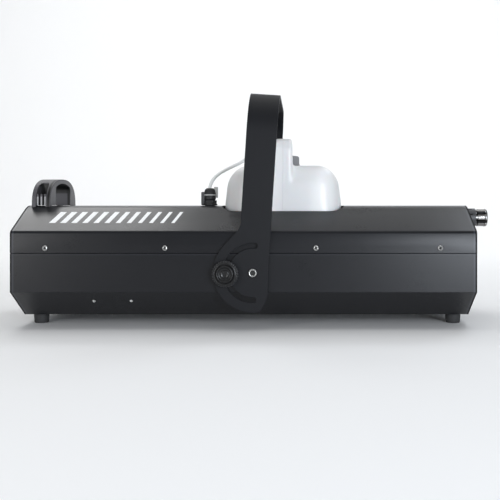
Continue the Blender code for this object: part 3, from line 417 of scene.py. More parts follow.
def tank_plastic():
    """Natural polyethylene from a blow mould: soft, milky, with a die line and faint flow marks."""
    milk = Finish("natural_polyethylene", (0.73, 0.73, 0.73), 0.36, subsurface_weight=0.12,
                  subsurface_scale=0.012, coat_weight=0.12, coat_roughness=0.25)
    flow = milk.noise(9.0, 3.0, vector=milk.stretched(6.0, 6.0, 1.0))
    haze = milk.noise(700.0, 2.0)
    seam = abs(milk.position()[0] - TANK.x).below(0.0005, 0.0003)
    milk.tint(flow * 0.25, (0.74, 0.745, 0.75))
    milk.tint(seam * 0.35, (0.62, 0.63, 0.64))
    milk.vary("Roughness", 0.31 + 0.10 * flow + 0.05 * haze)
    milk.emboss(haze, 0.00004, 0.3)
    milk.emboss(seam, 0.0004, 0.6)
    return milk.material


def tube_plastic():
    """Milky clear tube with a faint extrusion haze."""
    tube = Finish("milky_tube", (0.80, 0.81, 0.80), 0.22, coat_weight=0.4, coat_roughness=0.08)
    haze = tube.noise(240.0, 3.0)
    tube.tint(haze * 0.4, (0.62, 0.64, 0.63))
    tube.vary("Roughness", 0.18 + 0.14 * haze)
    tube.emboss(haze, 0.00003, 0.4)
    return tube.material


def rubber():
    foot = Finish("moulded_rubber", (0.016, 0.016, 0.017), 0.72)
    chalk = foot.noise(120.0, 4.0)
    foot.tint(chalk * 0.5, (0.045, 0.045, 0.046))
    foot.vary("Roughness", 0.62 + 0.22 * chalk)
    foot.emboss(foot.cells(1100.0), 0.0001, 0.4)
    return foot.material


def cast_metal():
    cast = Finish("cast_aluminium", (0.48, 0.49, 0.50), 0.45, 0.9)
    sand = cast.noise(420.0, 5.0, 0.7)
    cast.tint(sand * 0.5, (0.34, 0.34, 0.35))
    cast.vary("Roughness", 0.36 + 0.25 * sand)
    cast.emboss(sand, 0.00025, 0.6)
    return cast.material


def mineral_wool():
    wool = Finish("pressed_wool", (0.56, 0.50, 0.34), 0.95)
    fibres = wool.noise(260.0, 6.0, 0.75, wool.stretched(0.25, 1.0, 1.0))
    wool.tint(fibres.above(0.52, 0.10) * 0.7, (0.72, 0.67, 0.50))
    wool.tint(fibres.below(0.40, 0.10) * 0.6, (0.34, 0.28, 0.17))
    wool.emboss(fibres, 0.0008, 0.9)
    return wool.material


def circuit_board():
    """Green board with copper runs under the mask, and dark parts that stand on it."""
    board = Finish("circuit_board", (0.012, 0.11, 0.045), 0.35, coat_weight=0.5, coat_roughness=0.1)
    x, y, z = board.position()
    low = corner_low("control_board")
    runs = board.cells(190.0, board.stretched(1.0, 0.35, 0.0), "DISTANCE_TO_EDGE").below(0.05, 0.02)
    board.tint(runs * 0.7, (0.05, 0.26, 0.10))
    part = z.above(low.z + 0.0102, 0.0002)
    board.tint(part, (0.020, 0.020, 0.022))
    capacitor = x.below(low.x + 0.040) * y.below(low.y + 0.036) * part
    board.tint(capacitor, (0.03, 0.05, 0.16))
    board.emboss(runs, 0.0001, 0.5)
    board.vary("Roughness", 0.30 + 0.25 * part)
    return board.material


def wound_core():
    """A transformer: varnished laminations across it, and yellow tape round its winding."""
    core = Finish("laminated_core", (0.16, 0.15, 0.14), 0.5, 0.3)
    x, y, _ = core.position()
    low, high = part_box("transformer")
    tape = y.below(low.y + 0.0078).larger(y.above(high.y - 0.0078))
    sheets = (x * 9000.0).math("SINE")
    core.tint(sheets.above(0.2, 0.4) * 0.4, (0.26, 0.25, 0.24))
    core.tint(tape, (0.62, 0.44, 0.06))
    core.emboss(sheets, 0.0002, 0.5)
    core.vary("Roughness", 0.42 + 0.2 * core.noise(90.0))
    return core.material


def lens():
    """A smoked display lens over a pale backlit window with plain level bars."""
    smoked = Finish("display_lens", (0.010, 0.012, 0.016), 0.08, coat_weight=1.0, coat_roughness=0.03)
    low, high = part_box("display_window")
    _, y, z = smoked.position()
    face = smoked.facing()[0].below(-0.8, 0.1)
    inside = (y.between(low.y + 0.008, high.y - 0.008, 0.0004)
              * z.between(low.z + 0.007, high.z - 0.007, 0.0004) * face)
    smoked.tint(inside, (0.05, 0.16, 0.20))
    step = (y - low.y) / 0.0046
    bar = (step - step.math("FLOOR")).between(0.22, 0.78, 0.05)
    rise = z.between(low.z + 0.010, high.z - 0.010, 0.0004)
    smoked.tint(inside * bar * rise, (0.012, 0.045, 0.060))
    dust = smoked.noise(160.0, 3.0)
    smoked.vary("Roughness", 0.05 + 0.10 * dust)
    glow = smoked.node("ShaderNodeMix", {"data_type": "RGBA"},
                       {0: inside * (1.0 - bar * rise), 6: (0, 0, 0, 1), 7: (0.10, 0.42, 0.55, 1)})
    smoked.tree.links.new(glow.outputs[2], smoked.shader.inputs["Emission Color"])
    smoked.shader.inputs["Emission Strength"].default_value = 0.35
    return smoked.material


def print_ink():
    """White pad-printed ink, a little thin in places."""
    ink = Finish("white_print", (0.90, 0.90, 0.90), 0.5)
    thin = ink.noise(500.0, 4.0, 0.7)
    ink.tint(thin.below(0.38, 0.1) * 0.35, (0.70, 0.70, 0.71))
    ink.vary("Roughness", 0.42 + 0.2 * thin)
    ink.emboss(thin, 0.00003, 0.4)
    return ink.material


def painted_recess_shade():
    """Painted shade: near-black that stands for the unlit steel and plastic deep in a drive or a hole."""
    dark = Finish("painted_recess_shade", (0.006, 0.006, 0.006), 0.7)
    dust = dark.noise(300.0, 3.0)
    dark.tint(dust * 0.3, (0.018, 0.018, 0.018))
    dark.emboss(dust, 0.0001, 0.4)
    return dark.material


def cloth_floor():
    """A pale seamless studio floor."""
    paper = Finish("studio_paper", (0.90, 0.90, 0.90), 0.85)
    tooth = paper.noise(300.0, 4.0)
    paper.tint(tooth * 0.25, (0.93, 0.93, 0.93))
    paper.emboss(tooth, 0.0002, 0.15)
    return paper.material


FINISHES = {}


def finish(name):
    """Makes a finish the first time it is asked for."""
    if name not in FINISHES:
        FINISHES[name] = MAKERS[name]()
    return FINISHES[name]


MAKERS = {
    "casing": lambda: powder_coat("satin_black_powder", look().casing_color, look().casing_roughness, True),
    "plate": lambda: powder_coat("satin_black_plate", look().casing_color, look().casing_roughness),
    "strap": lambda: powder_coat("bracket_powder", look().bracket_color, look().bracket_roughness,
                                  shine=0.18),
    "black": lambda: moulded("black_plastic", (0.016, 0.016, 0.017), 0.42).material,
    "block": lambda: moulded("fitting_block_plastic", (0.055, 0.055, 0.057), 0.45).material,
    "tag": lambda: moulded("grey_tag", (0.42, 0.42, 0.41), 0.5).material,
    "grey": lambda: moulded("grey_cap_plastic", (0.20, 0.20, 0.205), 0.45).material,
    "white": lambda: moulded("white_plastic", (0.74, 0.74, 0.71), 0.4).material,
    "red": lambda: moulded("red_rocker_plastic", (0.42, 0.015, 0.012), 0.25, coat_weight=0.5).material,
    "guard": lambda: moulded("guard_plastic", (0.055, 0.055, 0.058), 0.38).material,
    "coil": lambda: moulded("coil_resin", (0.020, 0.021, 0.026), 0.5, 500.0).material,
    "handle": handle_plastic, "knob": knob_plastic, "zinc": plated, "polished": polished,
    "tank": tank_plastic, "tube": tube_plastic, "rubber": rubber, "cast": cast_metal, "wool": mineral_wool,
    "board": circuit_board, "core": wound_core, "lens": lens, "ink": print_ink,
    "recess": painted_recess_shade, "floor": cloth_floor,
}


# ---------------------------------------------------------------- mesh kit

def look():
    return bpy.context.scene.fog_finish


def stage_look():
    return bpy.context.scene.fog_studio


def mesh_piece(name, bm, finish_name, smooth=True, sharp=38):
    mesh = bpy.data.meshes.new(name)
    bmesh.ops.recalc_face_normals(bm, faces=bm.faces)
    bm.to_mesh(mesh)
    bm.free()
    mesh.materials.append(finish(finish_name))
    if smooth:
        mesh.shade_smooth()
        mesh.set_sharp_from_angle(angle=math.radians(sharp))
    piece = bpy.data.objects.new(name, mesh)
    bpy.context.scene.collection.objects.link(piece)
    return piece


def bevelled(piece, width, segments=2, angle=40):
    bevel = piece.modifiers.new("Broken edges", "BEVEL")
    bevel.width = width
    bevel.segments = segments
    bevel.limit_method = "ANGLE"
    bevel.angle_limit = math.radians(angle)
    bevel.use_clamp_overlap = True
    bevel.harden_normals = False
    return piece


def hold(piece, body, slot, *nodes):
    """Fastens a piece to its body and lets it stand for the nodes named, which it hides. The slot is not
    used.
    """
    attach(piece, body)
    if nodes:
        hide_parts(*nodes)
    return piece


def body_of(node):
    for body, members in frame["record"]["behaviour"]["bodies"].items():
        if node in members:
            return body
    raise ValueError(f"no body holds {node}")


def slot_of(node):
    for row in frame["record"]["subparts"]:
        if row["node"] == node:
            return row["material_slot"]
    raise ValueError(f"{node} has no slot")


def refined(node, finish_name, width=0.0, sharp=38, segments=2):
    """The node's own shape, its faces merged, smoothly shaded and with its edges broken."""
    source = frame["nodes"][node]
    bm = bmesh.new()
    bm.from_mesh(source.data)
    bmesh.ops.remove_doubles(bm, verts=bm.verts, dist=0.000002)
    bmesh.ops.dissolve_limit(bm, angle_limit=math.radians(0.4), verts=bm.verts, edges=bm.edges)
    piece = mesh_piece(f"{node}_finished", bm, finish_name, True, sharp)
    if width:
        bevelled(piece, width, segments, max(sharp, 30))
    return hold(piece, body_of(node), slot_of(node), node)


def lathe(bm, profile, origin, axis, steps=64, lobes=0, lobe_depth=0.0, lobe_from=0.0, lobe_turn=0.0):
    """Turns (radius, height) points about an axis, with shallow lobes on what is wider than lobe_from."""
    axis = Vector(axis).normalized()
    turn = axis.to_track_quat("Z", "Y").to_matrix().to_4x4()
    turn.translation = Vector(origin)
    rings = []
    for radius, height in profile:
        ring = []
        for step in range(steps):
            angle = math.tau * step / steps
            r = radius
            if lobes and radius > lobe_from:
                r -= lobe_depth * (0.5 - 0.5 * math.cos(lobes * (angle - lobe_turn))) ** 3
            ring.append(bm.verts.new(turn @ Vector((r * math.cos(angle), r * math.sin(angle), height))))
        rings.append(ring)
    for lower, upper in zip(rings, rings[1:]):
        for step in range(steps):
            after = (step + 1) % steps
            bm.faces.new((lower[step], lower[after], upper[after], upper[step]))
    for ring in (rings[0], rings[-1]):
        bm.faces.new(ring)
    return bm


def turned(name, profile, origin, axis, finish_name, **options):
    bm = lathe(bmesh.new(), profile, origin, axis, **options)
    return mesh_piece(name, bm, finish_name)


def rounded_profile(points, radius, steps=4):
    """(radius, height) points with each inner corner rounded off."""
    result = [points[0]]
    for before, here, after in zip(points, points[1:], points[2:]):
        before, here, after = Vector(before), Vector(here), Vector(after)
        reach = min(radius, (before - here).length * 0.45, (after - here).length * 0.45)
        start = here + (before - here).normalized() * reach
        end = here + (after - here).normalized() * reach
        for step in range(steps + 1):
            t = step / steps
            result.append(tuple(start.lerp(here, t).lerp(here.lerp(end, t), t)))
    return [*result, points[-1]]


def plate_between(bm, outline, lift):
    """A thin closed slab: an outline of points, and the same outline moved by lift."""
    low = [bm.verts.new(p) for p in outline]
    high = [bm.verts.new(Vector(p) + Vector(lift)) for p in outline]
    count = len(outline)
    for i in range(count):
        bm.faces.new((low[i], low[(i + 1) % count], high[(i + 1) % count], high[i]))
    bm.faces.new(low[::-1])
    bm.faces.new(high)
    return bm


def swept(name, points, radius, finish_name, sides=12, cyclic=False):
    """A round cord of mesh along points, with closed ends."""
    bm = bmesh.new()
    count = len(points)
    points = [Vector(p) for p in points]
    rings = []
    normal = None
    for i, point in enumerate(points):
        if cyclic:
            ahead, behind = points[(i + 1) % count], points[i - 1]
        else:
            ahead, behind = points[min(i + 1, count - 1)], points[max(i - 1, 0)]
        tangent = (ahead - behind).normalized()
        if normal is None:
            normal = tangent.orthogonal().normalized()
        normal = (normal - tangent * normal.dot(tangent)).normalized()
        other = tangent.cross(normal)
        rings.append([bm.verts.new(point + radius * (math.cos(a) * normal + math.sin(a) * other))
                      for a in (math.tau * s / sides for s in range(sides))])
    pairs = list(zip(rings, rings[1:])) + ([(rings[-1], rings[0])] if cyclic else [])
    for lower, upper in pairs:
        for s in range(sides):
            bm.faces.new((lower[s], lower[(s + 1) % sides], upper[(s + 1) % sides], upper[s]))
    if not cyclic:
        bm.faces.new(rings[0][::-1])
        bm.faces.new(rings[-1])
    return mesh_piece(name, bm, finish_name, sharp=60)


def smooth_route(route, steps):
    """Catmull-Rom points through the route, with steps between each two of its points."""
    knots = [Vector(p) for p in route]
    knots = [2 * knots[0] - knots[1], *knots, 2 * knots[-1] - knots[-2]]
    points = []
    for a, b, c, d in zip(knots, knots[1:], knots[2:], knots[3:]):
        for step in range(steps):
            t = step / steps
            points.append(0.5 * (2 * b + (c - a) * t + (2 * a - 5 * b + 4 * c - d) * t ** 2
                                 + (3 * b - a - 3 * c + d) * t ** 3))
    return [*points, knots[-2]]


def deck_height(y):
    """The height of the casing's outer face at y, over the deck, its fold and its upper band."""
    y = abs(y)
    if y <= FOLD_Y:
        return DECK_Z
    fold_end = FOLD_Y + FOLD_RADIUS * math.sin(BAND_SLOPE)
    if y <= fold_end:
        return DECK_Z - FOLD_RADIUS + math.sqrt(FOLD_RADIUS ** 2 - (y - FOLD_Y) ** 2)
    return DECK_Z - (y - DECK_HALF) * math.tan(BAND_SLOPE)


def pan_screw(bm, origin, axis, radius, height, steps=28):
    """A pan head with a deep cross recess, added to a mesh."""
    profile = rounded_profile([(radius * 0.80, 0.0001), (radius, 0.0004), (radius * 0.97, height * 0.55),
                               (radius * 0.76, height * 0.92), (radius * 0.60, height)], radius * 0.2, 3)
    lathe(bm, [*profile, (radius * 0.52, height * 0.50), (radius * 0.12, height * 0.28)],
          origin, axis, steps)
    return bm


def recess_disc(bm, origin, axis, radius, height):
    """Painted shade in a screw head's cross recess: two near-black crossed bars just above the recess floor.
    """
    axis = Vector(axis).normalized()
    turn = axis.to_track_quat("Z", "Y").to_matrix()
    for quarter in range(2):
        a = math.radians(22 + 90 * quarter)
        along = turn @ Vector((math.cos(a), math.sin(a), 0)) * radius
        across = turn @ Vector((-math.sin(a), math.cos(a), 0)) * radius * 0.36
        base = Vector(origin) + axis * height
        plate_between(bm, [base - along - across, base + along - across,
                           base + along + across, base - along + across], axis * 0.0002)
    return bm


# ---------------------------------------------------------------- settings

class FogFinishSettings(bpy.types.PropertyGroup):
    casing_color: bpy.props.FloatVectorProperty(
        name="Casing", description="Colour of the casing's powder coat", subtype="COLOR", size=3,
        min=0.0, max=1.0, default=(0.0068, 0.0072, 0.0090))
    casing_roughness: bpy.props.FloatProperty(
        name="Casing roughness", description="Sheen of the casing's powder coat, from glossy to matt",
        min=0.0, max=1.0, default=0.28)
    bracket_color: bpy.props.FloatVectorProperty(
        name="Bracket", description="Colour of the bracket's powder coat", subtype="COLOR", size=3,
        min=0.0, max=1.0, default=(0.0068, 0.0072, 0.0088))
    bracket_roughness: bpy.props.FloatProperty(
        name="Bracket roughness", description="Sheen of the bracket's powder coat", min=0.0, max=1.0,
        default=0.48)
    graphic_bars: bpy.props.IntProperty(
        name="Graphic bars", description="How many slanted bars the printed graphic has on each side",
        min=2, max=24, default=12)
    knob_lobes: bpy.props.IntProperty(
        name="Knob flutes", description="How many flutes run round a lock knob", min=0, max=60, default=30)
    cap_ribs: bpy.props.IntProperty(
        name="Cap ribs", description="How many ribs run round the tank's cap", min=8, max=80, default=44)
    tank_voxel: bpy.props.FloatProperty(
        name="Tank mesh", description="Size of the grid that the tank's skin is remeshed to",
        unit="LENGTH", min=0.001, max=0.01, default=0.0024)
    spring_keep: bpy.props.FloatProperty(
        name="Spring length", description="Share of its length that the pump's spring keeps at full stroke",
        min=0.5, max=1.0, default=0.90)


class FogStudioSettings(bpy.types.PropertyGroup):
    floor_half: bpy.props.FloatProperty(
        name="Floor", description="Half the width of the studio floor", unit="LENGTH", default=7.0)
    surround: bpy.props.FloatProperty(
        name="Surround", description="Brightness of the pale surround", min=0.0, max=2.0, default=0.40)
    key_power: bpy.props.FloatProperty(
        name="Overhead light", description="Power of the large light over the machine", unit="POWER",
        default=25.0)
    camera_lens: bpy.props.FloatProperty(
        name="Lens", description="Focal length of the studio camera", unit="CAMERA", default=64.39)


# ---------------------------------------------------------------- casing

def add_fasteners(name, body, places, radius, height, nodes=()):
    """Bright screws with painted shade in their recesses, as two pieces: the heads, and near-black crosses
    in them.
    """
    heads, crosses = bmesh.new(), bmesh.new()
    for origin, axis in places:
        pan_screw(heads, origin, axis, radius, height)
        recess_disc(crosses, origin, axis, radius * 0.54, height * 0.42)
    hold(mesh_piece(name, heads, "zinc", sharp=50), body, "plated_steel", *nodes)
    # The crosses are painted shade in the recesses.
    hold(mesh_piece(f"{name}_crosses", crosses, "recess", smooth=False), body, "plated_steel")


class FOG_OT_casing(bpy.types.Operator):
    """Finish the cover, tray, end plates and recess, with their fasteners and edgings"""
    bl_idname = "fog.casing"
    bl_label = "Casing"

    def execute(self, context):
        refined("top_cover", "casing", 0.0)
        refined("bottom_tray", "casing", 0.0012, 20)
        refined("front_end_plate", "plate", 0.0004)
        refined("rear_end_plate", "plate", 0.0003)
        refined("tank_recess", "plate", 0.0)
        screws = [f"cover_screw_{i}" for i in range(1, 9)]
        places = [((middle_of(n).x, math.copysign(SIDE_Y, middle_of(n).y), SCREW_Z),
                   (0, math.copysign(1, middle_of(n).y), 0)) for n in screws]
        add_fasteners("cover_screws", "chassis", places, 0.0042, 0.0026, screws)
        self.add_belly_screws()
        self.add_plate_screws()
        self.add_opening_trim()
        return {"FINISHED"}

    def add_belly_screws(self):
        """Two small screws through each lower band, which hold the pump's bracket."""
        slope = math.atan2(BAND_LOW_Z - BELLY_Z, SIDE_Y - BELLY_HALF)
        y = SIDE_Y + (BELLY_HALF - SIDE_Y) * BELLY_SCREW_SHARE
        z = BAND_LOW_Z + (BELLY_Z - BAND_LOW_Z) * BELLY_SCREW_SHARE
        places = []
        for side in (-1, 1):
            for x in BELLY_SCREW_X:
                places.append(((x, side * y, z), (0, side * math.sin(slope), -math.cos(slope))))
        add_fasteners("belly_screws", "chassis", places, 0.0030, 0.0017)

    def add_plate_screws(self):
        """Screws through both end plates, near their corners."""
        places = []
        for x, way in ((PANEL_X, -1), (PLATE_X, 1)):
            for y in (-PLATE_SCREW_Y, PLATE_SCREW_Y):
                for z in PLATE_SCREW_Z:
                    places.append(((x, y, z), (way, 0, 0)))
        add_fasteners("plate_screws", "chassis", places, 0.0034, 0.0019)

    def add_opening_trim(self):
        """A rubber edging round the tank's opening, following the deck down its folds."""
        low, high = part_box("tank_recess")
        radius = OPENING_CORNER
        half_x = (high.x - low.x) / 2 - 0.0012
        half_y = (high.y - low.y) / 2 - 0.0012
        points = []
        for sx, sy, start in ((1, 1, 0), (-1, 1, 90), (-1, -1, 180), (1, -1, 270)):
            for step in range(9):
                a = math.radians(start + 90 * step / 8)
                x = TANK.x + sx * (half_x - radius) + radius * math.cos(a)
                y = sy * (half_y - radius) + radius * math.sin(a)
                points.append((x, y, deck_height(y) - EDGING_SUNK))
        filled = []
        for here, after in zip(points, [*points[1:], points[0]]):
            count = max(1, int((Vector(after) - Vector(here)).length / 0.008))
            for step in range(count):
                x = here[0] + (after[0] - here[0]) * step / count
                y = here[1] + (after[1] - here[1]) * step / count
                filled.append((x, y, deck_height(y) - EDGING_SUNK))
        trim = swept("opening_edging", filled, EDGING_RADIUS, "rubber", 10, cyclic=True)
        hold(trim, "chassis", "black_rubber")


class FOG_OT_graphic(bpy.types.Operator):
    """Print a plain graphic of slanted bars on each upper band"""
    bl_idname = "fog.graphic"
    bl_label = "Printed Graphic"

    def execute(self, context):
        start, end = GRAPHIC_ENDS
        top, low, lean = GRAPHIC_TOP_SHARE, GRAPHIC_LOW_SHARE, GRAPHIC_LEAN
        normal = Vector((0, -math.sin(BAND_SLOPE), math.cos(BAND_SLOPE)))
        bars = look().graphic_bars
        if bars < 2:
            raise RuntimeError("the graphic needs at least two bars")
        bm = bmesh.new()
        pitch = (end - start) / bars
        for side in (-1, 1):
            for i in range(bars):
                width = pitch * (0.56 - 0.26 * i / (bars - 1))
                left = start + pitch * i
                outline = []
                for x, share in ((left, low), (left + width, low),
                                 (left + width + lean, top), (left + lean, top)):
                    y = DECK_HALF + (SIDE_Y - DECK_HALF) * share
                    z = DECK_Z - (DECK_Z - BAND_TOP_Z) * share
                    outline.append((x if side < 0 else start + end - x, side * y, z))
                out = Vector((0, side * abs(normal.y), normal.z))
                outline = [Vector(p) + out * 0.00004 for p in outline]
                plate_between(bm, outline, out * 0.00010)
        piece = mesh_piece("printed_bars", bm, "ink", smooth=False)
        hold(piece, "chassis", "white_plastic")
        return {"FINISHED"}


class FOG_OT_feet(bpy.types.Operator):
    """Turn the four rubber feet, each with its screw"""
    bl_idname = "fog.feet"
    bl_label = "Feet"

    def execute(self, context):
        for number in range(1, 5):
            node = f"rubber_foot_{number}"
            low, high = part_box(node)
            wide = (high.x - low.x) / 2
            spot = middle_of(node)
            profile = rounded_profile([(0.0045, 0.0040), (0.0045, 0.0), (wide * 0.86, 0.0),
                                       (wide * 0.93, 0.0012), (wide, high.z), (wide * 0.3, high.z)],
                                      0.0010, 3)
            foot = turned(f"{node}_finished", profile, (spot.x, spot.y, low.z), UP, "rubber", steps=56)
            hold(foot, "chassis", "black_rubber", node)
        places = [((middle_of(f"rubber_foot_{n}").x, middle_of(f"rubber_foot_{n}").y, 0.0038), DOWN)
                  for n in range(1, 5)]
        add_fasteners("foot_screws", "chassis", places, 0.0038, 0.0020)
        return {"FINISHED"}


# ---------------------------------------------------------------- bracket and its fittings

class FOG_OT_bracket(bpy.types.Operator):
    """Finish the hanging bracket"""
    bl_idname = "fog.bracket"
    bl_label = "Bracket"

    def execute(self, context):
        refined("bracket", "strap", 0.0011, 34, 3)
        return {"FINISHED"}


class FOG_OT_knobs(bpy.types.Operator):
    """Turn the two lock knobs and the two pivot bolts"""
    bl_idname = "fog.knobs"
    bl_label = "Lock Knobs and Pivots"

    def execute(self, context):
        for word, side in (("near", -1), ("far", 1)):
            self.make_knob(word, side)
            self.make_bolt(word, side)
        return {"FINISHED"}

    def make_knob(self, word, side):
        """A fluted rim with a sunk face, a raised boss, and a dark plug in its middle."""
        node = f"lock_knob_{word}"
        low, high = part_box(node)
        axis = (0, side, 0)
        spot = middle_of(node)
        reach = max(abs(low.y), abs(high.y))
        rim = (high.x - low.x) / 2
        seat = reach - 0.017
        base = (spot.x, 0, spot.z)
        profile = [(KNOB_STUD, min(abs(low.y), abs(high.y))), (KNOB_STUD, seat)]
        skirt = rounded_profile([(KNOB_STUD, seat), (rim - 0.0025, seat), (rim, seat + 0.0020),
                                 (rim, reach - 0.0085), (rim - 0.0012, reach - 0.0066),
                                 (rim - 0.0040, reach - 0.0070), (0.0140, reach - 0.0062),
                                 (0.0126, reach - 0.0010), (0.0112, reach), (0.0098, reach - 0.0012),
                                 (0.0085, reach - 0.0022), (0.0010, reach - 0.0022)], 0.0011, 3)
        knob = turned(f"{node}_finished", profile + skirt[1:], base, axis, "knob", steps=120,
                      lobes=look().knob_lobes, lobe_depth=0.0012, lobe_from=rim - 0.0026)
        hold(knob, node, "black_plastic", node)
        plug = turned(f"{node}_plug", rounded_profile(
            [(0.0020, reach - 0.0030), (0.0066, reach - 0.0030), (0.0066, reach - 0.0012),
             (0.0052, reach - 0.0006), (0.0034, reach - 0.0012), (0.0002, reach - 0.0012)], 0.0006, 3),
            base, axis, "knob", steps=48)
        hold(plug, node, "black_plastic")

    def make_bolt(self, word, side):
        """A button-head shoulder bolt with a hexagon socket."""
        node = f"pivot_bolt_{word}"
        low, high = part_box(node)
        reach = max(abs(low.y), abs(high.y))
        head = BOLT_HEAD
        collar = SIDE_Y + 0.0003
        profile = [(0.0040, min(abs(low.y), abs(high.y))), (0.0040, collar), (0.0100, collar),
                   (0.0100, SIDE_Y + 0.0032), (BOLT_SHANK, SIDE_Y + 0.0032),
                   (BOLT_SHANK, reach - 0.0042)]
        crown = rounded_profile([(BOLT_SHANK, reach - 0.0042), (head, reach - 0.0042),
                                 (head, reach - 0.0016),
                                 (head * 0.84, reach), (head * 0.70, reach - 0.0002)], 0.0008, 4)
        inside = [(head * 0.68, reach - 0.0030), (head * 0.05, reach - 0.0034)]
        base = (PIVOT.x, 0, PIVOT.z)
        bolt = turned(f"{node}_finished", profile + crown[1:] + inside, base, (0, side, 0), "zinc", steps=48)
        hold(bolt, "chassis", "plated_steel", node)
        # Painted shade: a near-black hexagonal plug in the socket.
        plug = turned(f"{node}_socket", [(head * 0.66, reach - 0.0029), (head * 0.66, reach - 0.0010),
                                         (head * 0.02, reach - 0.0014)],
                      base, (0, side, 0), "recess", steps=6)
        hold(plug, "chassis", "plated_steel")


# ---------------------------------------------------------------- tank

def rounded_block(bm, low, high, radius, steps=6):
    """A box with round edges and corners, as one closed mesh."""
    low, high = Vector(low), Vector(high)
    made = bmesh.ops.create_cube(bm, size=1.0)["verts"]
    bmesh.ops.scale(bm, vec=high - low, verts=made)
    bmesh.ops.translate(bm, vec=(low + high) / 2, verts=made)
    edges = {e for v in made for e in v.link_edges}
    bmesh.ops.bevel(bm, geom=list(edges), offset=radius, segments=steps, affect="EDGES", profile=0.5)
    return bm


